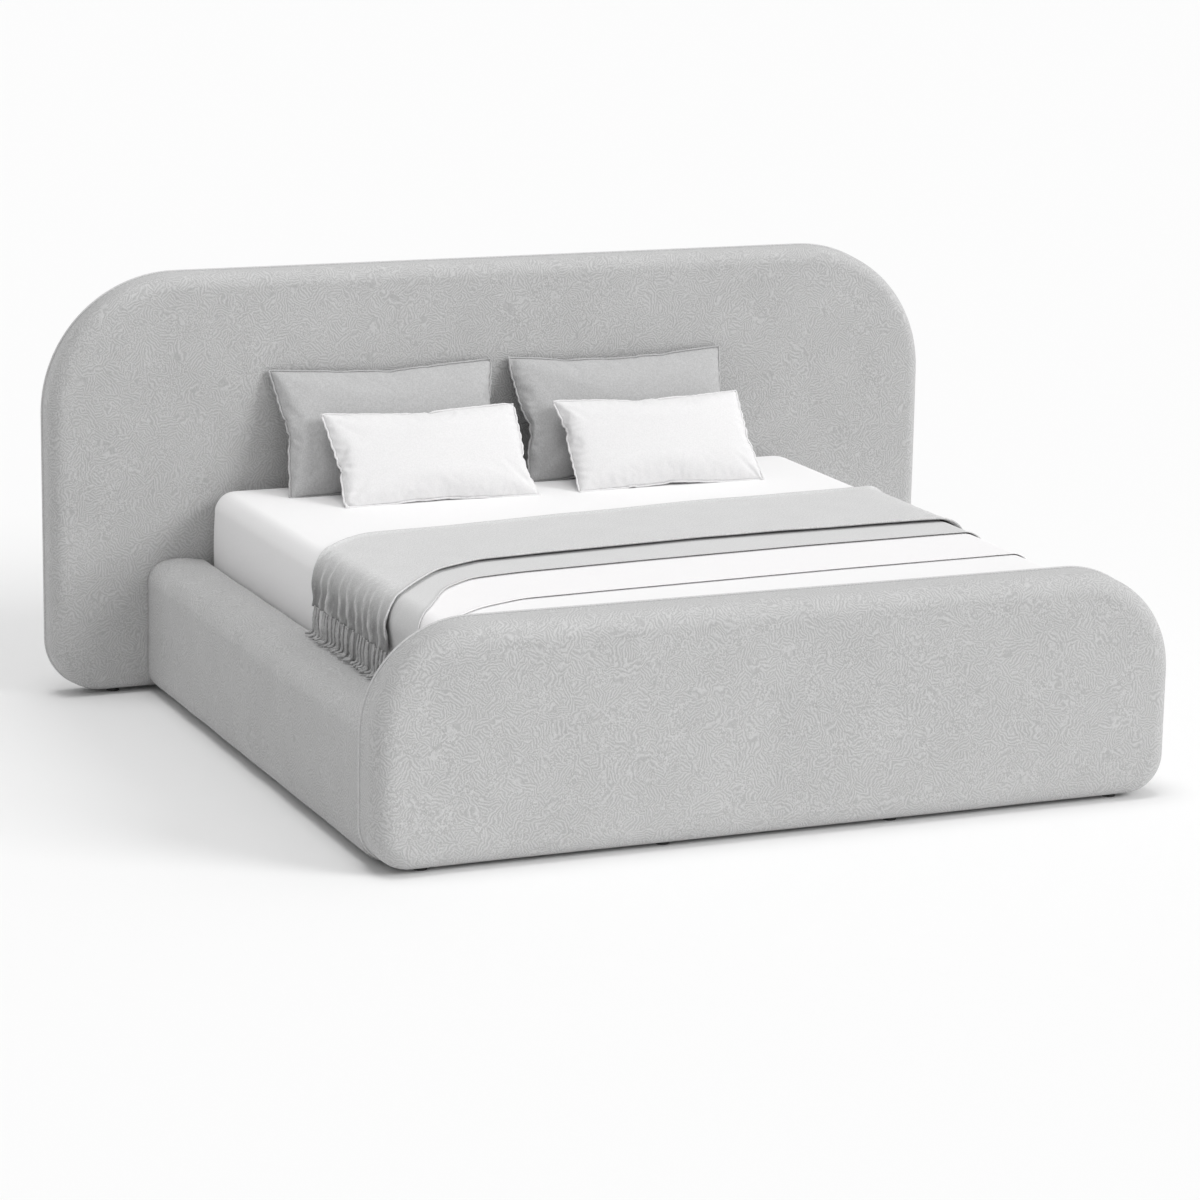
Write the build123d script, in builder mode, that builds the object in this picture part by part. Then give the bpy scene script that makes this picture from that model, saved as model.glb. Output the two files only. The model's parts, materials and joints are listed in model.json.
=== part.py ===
from build123d import *
import os
from dataclasses import dataclass
from math import atan2, cos, degrees, pi, radians, sin

os.makedirs("parts", exist_ok=True)

# The bed stands on the floor at z = 0. The head is towards +Y, the foot towards -Y, and left and
# right are as seen from the foot. The origin is on the floor under the middle of the bed.

# Driving sizes of the whole bed
mattress_width = 2000.0
mattress_length = 2000.0
mattress_height = 300.0
side_room = 15.0  # free space between the mattress and each side rail
end_room = 5.0  # free space between the mattress and the headboard, and at the foot
floor_gap = 10.0  # the glides lift all upholstery this far off the floor
lift_gap = 0.3  # running clearance between pieces that lift off each other
cloth_gap = 0.3  # slack between one layer of cloth or foam and the next
cover_thickness = 2.0  # upholstery fabric with its backing
overrun = 40.0  # how far a cutting shape runs past what it cuts

# Headboard and footboard pads
headboard_width = 3030.0
headboard_top = 1324.0
headboard_top_radius = 430.0
headboard_bottom_radius = 165.0
headboard_thickness = 120.0
headboard_rounding = 50.0
footboard_width = 2456.0
footboard_top = 681.0
footboard_top_radius = 305.0
footboard_bottom_radius = 115.0
footboard_thickness = 150.0
footboard_rounding = 60.0
back_bevel = 12.0
# Foam edges are cut at a slant, this share of the rounding that the padded cover gives them
slant_share = 0.87
# Hidden round edges are drawn as three flats: the middle one cuts this share of the rounding
flat_share = 0.66
seam_setback = 20.0  # from a pad's back face to the middle of its piped seam
piping_width = 6.0
piping_proud = 2.5
piping_bevel = 2.2
core_inset = 24.0  # the timber core is this much smaller than its pad all round
core_gap = 0.5  # slack between the core and the pocket that it sits in
core_board = 12.0  # plywood front of the core
core_frame = 45.0  # depth of the timber frame behind the board
core_rail = 90.0  # width of the frame's timbers
wadding_thickness = 28.0  # padding on the footboard's side towards the mattress
window_counts = {"headboard": 4, "footboard": 3}  # open bays between the frame's uprights

# Side rails
rail_thickness = 195.0
rail_top = 425.0
rail_inner_top = 396.0  # the crowned top falls to this height beside the mattress
rail_shoulder_radius = 80.0
rail_crest_share = 0.55  # of the rail's thickness, from its inner face to the highest line
rail_outer_drop = 7.2  # the crown falls this far from the crest to the outer face
rail_bottom_radius = 60.0
rail_inner_radius = 14.0
rail_foam_outside = 42.0
rail_foam_above = 46.0
rail_foam_below = 10.0
rail_board = 18.0
rail_rib_count = 5

# What carries the box springs
ledger_top = 120.0
ledger_height = 30.0
ledger_width = 25.0
ledger_end_room = 60.0  # keeps each ledger clear of the corner brackets
beam_width = 60.0
beam_height = 40.0
beam_wall = 2.0
beam_end_gap = 1.0
leg_count = 3
leg_diameter = 45.0
leg_plate_thickness = 4.0
leg_plate_length = 110.0
foot_diameter = 52.0
foot_height = 15.0
glide_diameter = 40.0
pad_glide_shares = (-1, -0.33, 0.33, 1)  # of the half length of a pad's flat underside
glide_rail_count = 2
glide_sides = 12

# Steel fittings
bracket_leg = 55.0
bracket_height = 62.0
bracket_thickness = 4.0
bracket_bottom = 24.0
bracket_hole_share = 0.55  # of the leg, from the corner
hanger_wall = 3.0
hanger_depth = 45.0
hanger_flange = 32.0
hanger_slack = 0.5
bolt_diameter = 8.0
bolt_hole_clearance = 0.4
bolt_head_width = 13.0
bolt_head_height = 5.3
bolt_bite = 30.0  # how far a bolt reaches into the timber frame
bolt_tip_room = 2.0  # every bolt ends this far short of its bore's end
bolt_spacing = 24.0
fastener_sides = 6  # faces round a bolt's shank and its bore

# Box springs, one each side of the middle
box_height = 215.0
box_side_gap = 5.0
box_centre_gap = 4.0
box_end_gap = 6.0
box_corner_radius = 22.0
box_edge_rounding = 18.0
box_base_bevel = 4.0
box_hem = 6.0  # the cover turns in this far under the box
box_board = 20.0
box_board_height = 110.0
box_slat_width = 70.0
box_slat_thickness = 16.0
box_slat_count = 7
box_module_count = 4  # spring modules on each slat
box_pad_thickness = 26.0
box_skirt = 8.0  # side padding between the timber and the cover
box_cloth_thickness = 1.5
spring_wire = 4.2
wire_sides = 4  # faces round a spring's wire
spring_foot = 60.0
spring_splay = 28.0
grid_wire = 4.2
grid_weld = 1.0  # how far the crossing wires are pressed into each other

# Mattress
mattress_corner_radius = 90.0
mattress_edge_rounding = 78.0
mattress_base_bevel = 20.0
sheet_hem = 30.0  # the sheet's elastic edge turns in this far under the mattress
inner_corner_radius = 8.0  # least corner of a layer inside a box spring or the mattress
sheet_thickness = 1.0
ticking_thickness = 3.0
mattress_base_foam = 40.0
mattress_spring_height = 160.0
mattress_border = 90.0  # foam wall round the pocket springs

# Bedding over the foot half of the mattress; distances along the bed are from the headboard's face
coverlet_thickness = 3.0
blanket_thickness = 3.0
throw_thickness = 5.0
cloth_tuck = 15.0  # coverlet and blanket hang this far down between mattress and rail
throw_hem = 500.0  # height of the throw's woven hem
throw_fold_count = 6
throw_fold_depth = 5.0
fold_start_depth = 0.4
fold_start_drop = 10.0  # the folds start this far below the mattress's rounded edge
fringe_end_room = 8.0  # between the tassels' ends and the rail's top
fringe_header = 8.0
tassel_pitch = 26.0
tassel_sides = 4
tassel_top_radius = 4.3  # from a tassel's middle to its flats
tassel_end_radius = 3.1

# Pillows: widths and heights from seam to seam
grey_pillow_width = 745.0
grey_pillow_height = 425.0
grey_pillow_thickness = 130.0
grey_pillow_lean = 28.0  # degrees back from upright
grey_pillow_centres = {"left": -436.0, "right": 372.0}
white_pillow_width = 645.0
white_pillow_height = 342.0
white_pillow_thickness = 105.0
white_pillow_lean = 42.0
white_pillow_centres = {"left": -372.0, "right": 412.0}
pillow_seam = 7.0
pillow_dip = 12.0  # each side draws in this far between the corners
pillow_cover_thickness = 1.6
# Steps from a pillow's seam to its crown: drawn in by a share of the half height, risen by a share
pillow_step_shares = [(0.0, 0.0), (0.06, 0.3), (0.2, 0.64), (0.42, 0.88), (0.68, 1.0)]
plane_count = 8  # slants tried for the free plane between a white pillow and a grey one


def export_piece(piece, name):
    """Labels one finished piece and writes it under its own name."""
    piece.part.label = name
    export_step(piece.part, f"parts/{name}.step")


# Heights and places that follow from the driving sizes
inner_width = mattress_width + 2 * side_room
inner_length = mattress_length + 2 * end_room
bed_length = headboard_thickness + inner_length + footboard_thickness
head_back = bed_length / 2
head_face = head_back - headboard_thickness
foot_back = head_face - inner_length
inner_middle = (head_face + foot_back) / 2
box_bottom = ledger_top + lift_gap
mattress_bottom = box_bottom + box_height + lift_gap
bed_top = mattress_bottom + mattress_height


@dataclass(frozen=True)
class Pad:
    """A thick upholstered board: its outline stands in XZ and its front looks towards the foot."""

    width: float
    top: float
    top_radius: float
    bottom_radius: float
    back: float
    thickness: float
    rounding: float
    wadding: float

    @property
    def seam(self):
        return self.back - seam_setback

    @property
    def core_back(self):
        return self.back - cover_thickness - cloth_gap - self.wadding

    @property
    def core_front(self):
        return self.core_back - core_frame - core_board


pads = {
    "headboard": Pad(
        headboard_width,
        headboard_top,
        headboard_top_radius,
        headboard_bottom_radius,
        head_back,
        headboard_thickness,
        headboard_rounding,
        0,
    ),
    "footboard": Pad(
        footboard_width,
        footboard_top,
        footboard_top_radius,
        footboard_bottom_radius,
        foot_back,
        footboard_thickness,
        footboard_rounding,
        wadding_thickness,
    ),
}


def pad_outline(pad, inset):
    """The pad's outline drawn in by the inset: larger corners at the top than at the floor."""
    with BuildSketch() as outline:
        with Locations((0, (floor_gap + pad.top) / 2)):
            Rectangle(pad.width - 2 * inset, pad.top - floor_gap - 2 * inset)
        fillet(outline.vertices().group_by(Axis.Y)[-1], pad.top_radius - inset)
        fillet(outline.vertices().group_by(Axis.Y)[0], pad.bottom_radius - inset)
    return outline.sketch


def pad_layer(pad, inset, back, front):
    """A square-edged slice of the pad between two upright planes."""
    with BuildPart() as layer:
        with BuildSketch(Plane.XZ.offset(-back)):
            add(pad_outline(pad, inset))
        extrude(amount=back - front)
    return layer.part


def pad_cushion(pad, inset):
    """The whole pad, or what is under its cover: drawn in by the inset, with its front edge slanted."""
    with BuildPart() as cushion:
        with BuildSketch(Plane.XZ.offset(inset - pad.back)):
            add(pad_outline(pad, inset))
        extrude(amount=pad.thickness - 2 * inset)
        front_edges = cushion.faces().sort_by(Axis.Y)[0].edges()
        if inset:
            chamfer(front_edges, (pad.rounding - inset) * slant_share)
        else:
            fillet(front_edges, pad.rounding)
        chamfer(cushion.faces().sort_by(Axis.Y)[-1].edges(), back_bevel - inset)
    return cushion.part


# Bolts through the pads: two in each corner bracket and one in each flange of the beam hangers
bracket_bolt_x = inner_width / 2 - bracket_leg * bracket_hole_share
bracket_bolt_heights = [
    bracket_bottom + bracket_height / 2 + step * bolt_spacing / 2 for step in (-1, 1)
]
beam_bottom = ledger_top - beam_height
hanger_half = beam_width / 2 + hanger_slack + hanger_wall
hanger_bolt_x = hanger_half + hanger_flange / 2
hanger_bolt_height = ledger_top - beam_height / 2
pad_bolt_places = [
    (side * bracket_bolt_x, height) for side in (-1, 1) for height in bracket_bolt_heights
] + [(side * hanger_bolt_x, hanger_bolt_height) for side in (-1, 1)]


def bore_section(places):
    """Cross-sections of bolt bores at the given places; a bolt's round just fits inside the flats."""
    with BuildSketch() as section:
        with Locations(*places):
            RegularPolygon(bolt_diameter / 2 + bolt_hole_clearance, fastener_sides, major_radius=False)
    return section.sketch


def cross_bores(places, start, end):
    """Clearance bores along Y at each (x, z) place, between two upright planes."""
    with BuildPart() as bores:
        with BuildSketch(Plane.XZ.offset(-start)):
            add(bore_section(places))
        extrude(amount=start - end)
    return bores.part


# Headboard and footboard, from the cover inwards
for name, pad in pads.items():
    skin = cover_thickness + cloth_gap
    whole = pad_cushion(pad, 0)
    hollow = pad_cushion(pad, cover_thickness)
    filling = pad_cushion(pad, skin)
    seam_front = pad.seam - piping_width / 2
    seam_back = pad.seam + piping_width / 2
    bed_side = head_face if name == "headboard" else foot_back
    if name == "headboard":
        bores = cross_bores(pad_bolt_places, pad.core_front + core_board + bolt_bite, bed_side - overrun)
    else:
        bores = cross_bores(pad_bolt_places, bed_side + overrun, pad.core_back - bolt_bite)

    with BuildPart() as front_cover:
        add(whole)
        add(hollow, mode=Mode.SUBTRACT)
        split(bisect_by=Plane(origin=(0, seam_front, 0), z_dir=(0, 1, 0)), keep=Keep.BOTTOM)
        add(bores, mode=Mode.SUBTRACT)
    export_piece(front_cover, f"{name}_cover")

    with BuildPart() as back_cover:
        add(whole)
        add(hollow, mode=Mode.SUBTRACT)
        split(bisect_by=Plane(origin=(0, seam_back, 0), z_dir=(0, 1, 0)), keep=Keep.TOP)
        add(bores, mode=Mode.SUBTRACT)
    export_piece(back_cover, f"{name}_back_cover")

    with BuildPart() as piping:
        with BuildSketch(Plane.XZ.offset(-seam_back)):
            add(pad_outline(pad, -piping_proud))
        extrude(amount=piping_width)
        rims = [piping.faces().sort_by(Axis.Y)[end].edges() for end in (0, -1)]
        chamfer(rims[0] + rims[1], piping_bevel)
        add(pad_layer(pad, cover_thickness, seam_back + overrun, seam_front - overrun), mode=Mode.SUBTRACT)
    export_piece(piping, f"{name}_piping")

    with BuildPart() as foam:
        add(filling)
        add(pad_layer(pad, core_inset, pad.back + overrun, pad.core_front), mode=Mode.SUBTRACT)
        if pad.wadding:
            split(bisect_by=Plane(origin=(0, pad.core_back, 0), z_dir=(0, 1, 0)), keep=Keep.BOTTOM)
        add(bores, mode=Mode.SUBTRACT)
    export_piece(foam, f"{name}_foam")

    if pad.wadding:
        with BuildPart() as wadding:
            add(filling)
            split(bisect_by=Plane(origin=(0, pad.core_back, 0), z_dir=(0, 1, 0)), keep=Keep.TOP)
            add(bores, mode=Mode.SUBTRACT)
        export_piece(wadding, f"{name}_wadding")

    core_edge = core_inset + core_gap
    with BuildPart() as board:
        add(pad_layer(pad, core_edge, pad.core_front + core_board, pad.core_front))
        add(bores, mode=Mode.SUBTRACT)
    export_piece(board, f"{name}_board")

    window_zone = pad.width - 2 * pad.top_radius
    window_pitch = window_zone / window_counts[name]
    window_bottom = floor_gap + core_edge + core_rail
    window_top = pad.top - core_edge - core_rail
    with BuildPart() as frame:
        add(pad_layer(pad, core_edge, pad.core_back, pad.core_front + core_board))
        with BuildSketch(Plane.XZ.offset(-pad.core_back)):
            with Locations((0, (window_bottom + window_top) / 2)):
                with GridLocations(window_pitch, 0, window_counts[name], 1):
                    Rectangle(window_pitch - core_rail, window_top - window_bottom)
        extrude(amount=core_frame, mode=Mode.SUBTRACT)
        add(bores, mode=Mode.SUBTRACT)
    export_piece(frame, f"{name}_frame")


# Side rails: the right one is drawn, the left one is its mirror image
def rail_section(inset):
    """Cross-section of the right rail, drawn in by the inset: crowned top, rounded shoulder and base."""
    inner = inner_width / 2 + inset
    outer = inner_width / 2 + rail_thickness - inset
    bottom = floor_gap + inset
    inner_top = rail_inner_top - inset
    crest_x = inner + rail_crest_share * (outer - inner)
    outer_top = rail_top - inset - rail_outer_drop
    with BuildSketch() as section:
        with BuildLine():
            crown = ThreePointArc((inner, inner_top), (crest_x, rail_top - inset), (outer, outer_top))
            Polyline(crown @ 1, (outer, bottom), (inner, bottom), crown @ 0)
        make_face()
        corners = section.vertices().sort_by(Axis.X)
        fillet(corners[2:].sort_by(Axis.Y)[-1], rail_shoulder_radius - inset)
        fillet(section.vertices().group_by(Axis.Y)[0].sort_by(Axis.X)[-1], rail_bottom_radius - inset)
        inner_corners = section.vertices().group_by(Axis.X)[0]
        fillet(inner_corners.sort_by(Axis.Y)[-1], rail_inner_radius - inset)
    return section.sketch


def rail_length_of(sketch):
    """Carries a section in XZ along the whole rail, from the headboard to the footboard."""
    with BuildPart() as bar:
        with BuildSketch(Plane.XZ.offset(-head_face)):
            add(sketch)
        extrude(amount=inner_length)
    return bar.part


rail_inside = inner_width / 2
rail_skin = cover_thickness + cloth_gap
box_inner_x = rail_inside + rail_skin
box_outer_x = rail_inside + rail_thickness - rail_skin - rail_foam_outside
rail_box_bottom = floor_gap + rail_skin + rail_foam_below
rail_box_top = rail_inner_top - rail_foam_above
rail_box_height = rail_box_top - rail_box_bottom
rail_bolt_y = [
    head_face - bracket_leg * bracket_hole_share,
    foot_back + bracket_leg * bracket_hole_share,
]

with BuildPart() as rail_bores:
    with BuildSketch(Plane.YZ.offset(rail_inside - overrun)):
        add(bore_section([(y, z) for y in rail_bolt_y for z in bracket_bolt_heights]))
    extrude(amount=overrun + rail_skin + rail_board)

with BuildPart() as rail_cover:
    add(rail_length_of(rail_section(0)))
    add(rail_length_of(rail_section(cover_thickness)), mode=Mode.SUBTRACT)
    add(rail_bores.part, mode=Mode.SUBTRACT)

with BuildPart() as rail_foam:
    add(rail_length_of(rail_section(rail_skin)))
    pocket_width = box_outer_x + cloth_gap - rail_inside
    with BuildSketch(Plane.XZ.offset(-head_face)):
        with Locations((rail_inside + pocket_width / 2, (rail_box_bottom + rail_box_top) / 2)):
            Rectangle(pocket_width, rail_box_height + 2 * cloth_gap)
    extrude(amount=inner_length, mode=Mode.SUBTRACT)

with BuildPart() as rail_frame:
    # inner and outer boards
    for x in (box_inner_x + rail_board / 2, box_outer_x - rail_board / 2):
        with Locations((x, inner_middle, rail_box_bottom + rail_box_height / 2)):
            Box(rail_board, inner_length, rail_box_height)
    # ribs between them
    rib_depth = box_outer_x - box_inner_x - 2 * rail_board
    rib_pitch = (inner_length - 2 * ledger_end_room) / (rail_rib_count - 1)
    with Locations(((box_inner_x + box_outer_x) / 2, inner_middle, rail_box_bottom + rail_box_height / 2)):
        with GridLocations(0, rib_pitch, 1, rail_rib_count):
            Box(rib_depth, rail_board, rail_box_height)
    add(rail_bores.part, mode=Mode.SUBTRACT)

ledger_x = rail_inside - ledger_width / 2
with BuildPart() as ledger:
    with Locations((ledger_x, inner_middle, ledger_top - ledger_height / 2)):
        Box(ledger_width, inner_length - 2 * ledger_end_room, ledger_height)

for name, right in {"cover": rail_cover, "foam": rail_foam, "frame": rail_frame, "ledger": ledger}.items():
    export_piece(right, f"rail_{name}_right")
    with BuildPart() as left:
        mirror(right.part, about=Plane.YZ)
    export_piece(left, f"rail_{name}_left")

# Centre beam with its hangers and legs
with BuildPart() as centre_beam:
    beam_section = Plane.XZ.offset(beam_end_gap - head_face)
    with BuildSketch(beam_section):
        with Locations((0, ledger_top - beam_height / 2)):
            Rectangle(beam_width, beam_height)
            Rectangle(beam_width - 2 * beam_wall, beam_height - 2 * beam_wall, mode=Mode.SUBTRACT)
    extrude(amount=inner_length - 2 * beam_end_gap)
export_piece(centre_beam, "centre_beam")


def beam_hanger(face):
    """Folded steel hanger on the headboard's face: two flanges and a trough under the beam's end."""
    trough_bottom = beam_bottom - hanger_wall
    with BuildPart() as hanger:
        # flanges against the pad
        with BuildSketch(Plane.XZ.offset(-face)):
            for side in (-1, 1):
                with Locations((side * (hanger_half + hanger_flange / 2), hanger_bolt_height)):
                    Rectangle(hanger_flange, beam_height)
            bolt_places = [(side * hanger_bolt_x, hanger_bolt_height) for side in (-1, 1)]
            add(bore_section(bolt_places), mode=Mode.SUBTRACT)
        extrude(amount=hanger_wall)
        # trough
        with BuildSketch(Plane.XZ.offset(-face)):
            with Locations((0, (trough_bottom + ledger_top) / 2)):
                Rectangle(2 * hanger_half, ledger_top - trough_bottom)
            with Locations((0, (beam_bottom + ledger_top + overrun) / 2)):
                Rectangle(2 * (hanger_half - hanger_wall), beam_height + overrun, mode=Mode.SUBTRACT)
        extrude(amount=hanger_depth)
    return hanger.part


head_hanger = beam_hanger(head_face)
with BuildPart() as beam_hangers:
    add(head_hanger)
    mirror(head_hanger, about=Plane.XZ.offset(-inner_middle))
export_piece(beam_hangers, "beam_hangers")

leg_pitch = inner_length / (leg_count + 1)
leg_plate_bottom = beam_bottom - leg_plate_thickness
with BuildPart() as centre_legs:
    with Locations((0, inner_middle, foot_height)):
        with GridLocations(0, leg_pitch, 1, leg_count):
            Cylinder(
                leg_diameter / 2,
                leg_plate_bottom - foot_height,
                align=(Align.CENTER, Align.CENTER, Align.MIN),
            )
    with Locations((0, inner_middle, leg_plate_bottom)):
        with GridLocations(0, leg_pitch, 1, leg_count):
            Box(
                beam_width,
                leg_plate_length,
                leg_plate_thickness,
                align=(Align.CENTER, Align.CENTER, Align.MIN),
            )
export_piece(centre_legs, "centre_legs")

with BuildPart() as leg_feet:
    with Locations((0, inner_middle, 0)):
        with GridLocations(0, leg_pitch, 1, leg_count):
            Cylinder(foot_diameter / 2, foot_height, align=(Align.CENTER, Align.CENTER, Align.MIN))
export_piece(leg_feet, "leg_feet")

# Glides under the pads and the rails
glide_places = []
for pad in pads.values():
    flat_half = pad.width / 2 - pad.bottom_radius - glide_diameter
    pad_middle = pad.back - pad.thickness / 2
    glide_places += [(share * flat_half, pad_middle) for share in pad_glide_shares]
rail_glide_x = rail_inside + (rail_thickness - rail_bottom_radius) / 2
rail_glide_pitch = inner_length / (glide_rail_count + 1)
for side in (-1, 1):
    for step in range(glide_rail_count):
        glide_y = foot_back + (step + 1) * rail_glide_pitch
        glide_places.append((side * rail_glide_x, glide_y))

with BuildPart() as glides:
    with BuildSketch():
        with Locations(*glide_places):
            RegularPolygon(glide_diameter / 2, glide_sides)
    extrude(amount=floor_gap)
export_piece(glides, "glides")

# Corner brackets: one is drawn at the head on the right and mirrored to the other three corners
with BuildPart() as bracket:
    with BuildSketch(Plane.XY.offset(bracket_bottom)):
        with BuildLine():
            Polyline(
                (rail_inside, head_face),
                (rail_inside, head_face - bracket_leg),
                (rail_inside - bracket_thickness, head_face - bracket_leg),
                (rail_inside - bracket_thickness, head_face - bracket_thickness),
                (rail_inside - bracket_leg, head_face - bracket_thickness),
                (rail_inside - bracket_leg, head_face),
                close=True,
            )
        make_face()
    extrude(amount=bracket_height)
    add(
        cross_bores(
            [(bracket_bolt_x, height) for height in bracket_bolt_heights],
            head_face + overrun,
            head_face - bracket_thickness - overrun,
        ),
        mode=Mode.SUBTRACT,
    )
    add(rail_bores.part, mode=Mode.SUBTRACT)
    tip_edges = bracket.edges().filter_by(Axis.Y).group_by(Axis.X)[0]
    fillet(tip_edges, bracket_thickness)


def four_corners(shape):
    """The shape at the head on the right, and its mirror images in the other three corners."""
    with BuildPart() as both_sides:
        add(shape)
        mirror(shape, about=Plane.YZ)
    with BuildPart() as corners:
        add(both_sides.part)
        mirror(both_sides.part, about=Plane.XZ.offset(-inner_middle))
    return corners.part


with BuildPart() as corner_brackets:
    add(four_corners(bracket.part))
export_piece(corner_brackets, "corner_brackets")


def bolt(seat, length):
    """Hexagon bolt whose head rests on the seat plane and whose shank runs on along its normal."""
    with BuildPart() as piece:
        with BuildSketch(seat):
            RegularPolygon(bolt_head_width / 2, 6, major_radius=False)
        extrude(amount=-bolt_head_height)
        with BuildSketch(seat):
            RegularPolygon(bolt_diameter / 2, fastener_sides)
        extrude(amount=length)
    return piece.part


# Every bolt ends inside its bore, a little short of the bore's end
head_bolt_length = pads["headboard"].core_front + core_board + bolt_bite - head_face
foot_bolt_length = foot_back - pads["footboard"].core_back + bolt_bite
rail_bolt_length = rail_skin + rail_board
with BuildPart() as frame_bolts:
    for side in (-1, 1):
        for height in bracket_bolt_heights:
            x = side * bracket_bolt_x
            head_seat = head_face - bracket_thickness
            foot_seat = foot_back + bracket_thickness
            reach = bracket_thickness - bolt_tip_room
            add(bolt(Plane((x, head_seat, height), z_dir=(0, 1, 0)), head_bolt_length + reach))
            add(bolt(Plane((x, foot_seat, height), z_dir=(0, -1, 0)), foot_bolt_length + reach))
            for y in rail_bolt_y:
                seat_x = side * (rail_inside - bracket_thickness)
                add(bolt(Plane((seat_x, y, height), z_dir=(side, 0, 0)), rail_bolt_length + reach))
        x = side * hanger_bolt_x
        reach = hanger_wall - bolt_tip_room
        head_seat = head_face - hanger_wall
        foot_seat = foot_back + hanger_wall
        add(bolt(Plane((x, head_seat, hanger_bolt_height), z_dir=(0, 1, 0)), head_bolt_length + reach))
        add(bolt(Plane((x, foot_seat, hanger_bolt_height), z_dir=(0, -1, 0)), foot_bolt_length + reach))
export_piece(frame_bolts, "frame_bolts")


# Box springs and mattress: blocks with rounded edges, seen from above as rounded rectangles
@dataclass(frozen=True)
class Block:
    """An upholstered block lying flat, with rounded corners and rounded top and bottom edges."""

    centre_x: float
    centre_y: float
    width: float
    length: float
    bottom: float
    height: float
    corner: float
    top_rounding: float
    base_bevel: float


def block_layer(block, inset, bottom, top):
    """A square-edged layer of the block between two heights."""
    with BuildPart() as layer:
        with BuildSketch(Plane.XY.offset(bottom)):
            with Locations((block.centre_x, block.centre_y)):
                corner = max(block.corner - inset, inner_corner_radius)
                RectangleRounded(block.width - 2 * inset, block.length - 2 * inset, corner)
        extrude(amount=top - bottom)
    return layer.part


def block_solid(block, inset, edge):
    """The block drawn in by the inset all over, its top edge round, in three flats, or cut at a slant."""
    rounding = block.top_rounding - inset
    with BuildPart() as solid:
        add(block_layer(block, inset, block.bottom + inset, block.bottom + block.height - inset))
        top_edges = solid.faces().sort_by(Axis.Z)[-1].edges()
        if edge == "round":
            fillet(top_edges, rounding)
        elif edge == "slant":
            chamfer(top_edges, rounding * slant_share)
        else:
            chamfer(top_edges, rounding * flat_share)
            levels = solid.edges().group_by(Axis.Z)
            chamfer(levels[-1] + levels[-3], rounding * (1 - flat_share))
        chamfer(solid.faces().sort_by(Axis.Z)[0].edges(), block.base_bevel - inset)
    return solid.part


box_width = inner_width / 2 - box_side_gap - box_centre_gap / 2
box = Block(
    (box_width + box_centre_gap) / 2,
    inner_middle,
    box_width,
    inner_length - 2 * box_end_gap,
    box_bottom,
    box_height,
    box_corner_radius,
    box_edge_rounding,
    box_base_bevel,
)
box_skin = cover_thickness + cloth_gap
box_core_inset = box_skin + box_skirt
box_core_width = box.width - 2 * box_core_inset
box_core_length = box.length - 2 * box_core_inset
box_floor = box.bottom + cover_thickness + cloth_gap
box_pad_bottom = box.bottom + box.height - box_skin - box_pad_thickness
grid_top = box_pad_bottom - cloth_gap
slat_pitch = (box_core_length - 2 * box_board - box_slat_width) / (box_slat_count - 1)
module_pitch = (box_core_width - 2 * box_board) / box_module_count
slat_top = box_floor + box_slat_thickness

with BuildPart() as box_cover:
    add(block_solid(box, 0, "flats"))
    add(block_solid(box, cover_thickness, "slant"), mode=Mode.SUBTRACT)
    add(
        block_layer(box, box_hem, box.bottom - overrun, box.bottom + 2 * cover_thickness),
        mode=Mode.SUBTRACT,
    )

with BuildPart() as box_dust_cloth:
    add(block_layer(box, box_hem + cloth_gap, box.bottom, box.bottom + box_cloth_thickness))

with BuildPart() as box_pad:
    add(block_solid(box, box_skin, "slant"))
    with Locations((box.centre_x, box.centre_y, box_pad_bottom)):
        room_align = (Align.CENTER, Align.CENTER, Align.MAX)
        Box(box_core_width, box_core_length, box_height, align=room_align, mode=Mode.SUBTRACT)
    split(bisect_by=Plane.XY.offset(box_floor + box_board), keep=Keep.TOP)

with BuildPart() as box_frame:
    board_room = box_core_width - 2 * core_gap
    board_run = box_core_length - 2 * core_gap
    board_z = box_floor + box_board_height / 2
    for side in (-1, 1):
        with Locations((box.centre_x + side * (board_room - box_board) / 2, box.centre_y, board_z)):
            Box(box_board, board_run, box_board_height)
        with Locations((box.centre_x, box.centre_y + side * (board_run - box_board) / 2, board_z)):
            Box(board_room - 2 * box_board, box_board, box_board_height)
    with Locations((box.centre_x, box.centre_y, box_floor + box_slat_thickness / 2)):
        with GridLocations(0, slat_pitch, 1, box_slat_count):
            Box(board_room - 2 * box_board, box_slat_width, box_slat_thickness)


def spring_module():
    """Bent wire module standing on a slat: two feet, two splayed legs and a straight top bar."""
    wire_middle = spring_wire / 2
    rise = grid_top - 2 * grid_wire - slat_top - spring_wire
    half_top = module_pitch / 2 - spring_foot
    points = [
        (-half_top - spring_splay, -spring_foot / 2, wire_middle),
        (-half_top - spring_splay, spring_foot / 2, wire_middle),
        (-half_top, 0, wire_middle + rise),
        (half_top, 0, wire_middle + rise),
        (half_top + spring_splay, spring_foot / 2, wire_middle),
        (half_top + spring_splay, -spring_foot / 2, wire_middle),
    ]
    with BuildPart() as module:
        with BuildLine() as route:
            Polyline(*points)
        with BuildSketch(Plane(route.line @ 0, z_dir=route.line % 0)):
            RegularPolygon(wire_middle, wire_sides)
        sweep(transition=Transition.RIGHT)
    return module.part


one_module = spring_module()
with BuildPart() as box_springs:
    with Locations((box.centre_x, box.centre_y, slat_top)):
        with GridLocations(module_pitch, slat_pitch, box_module_count, box_slat_count):
            add(one_module)

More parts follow.
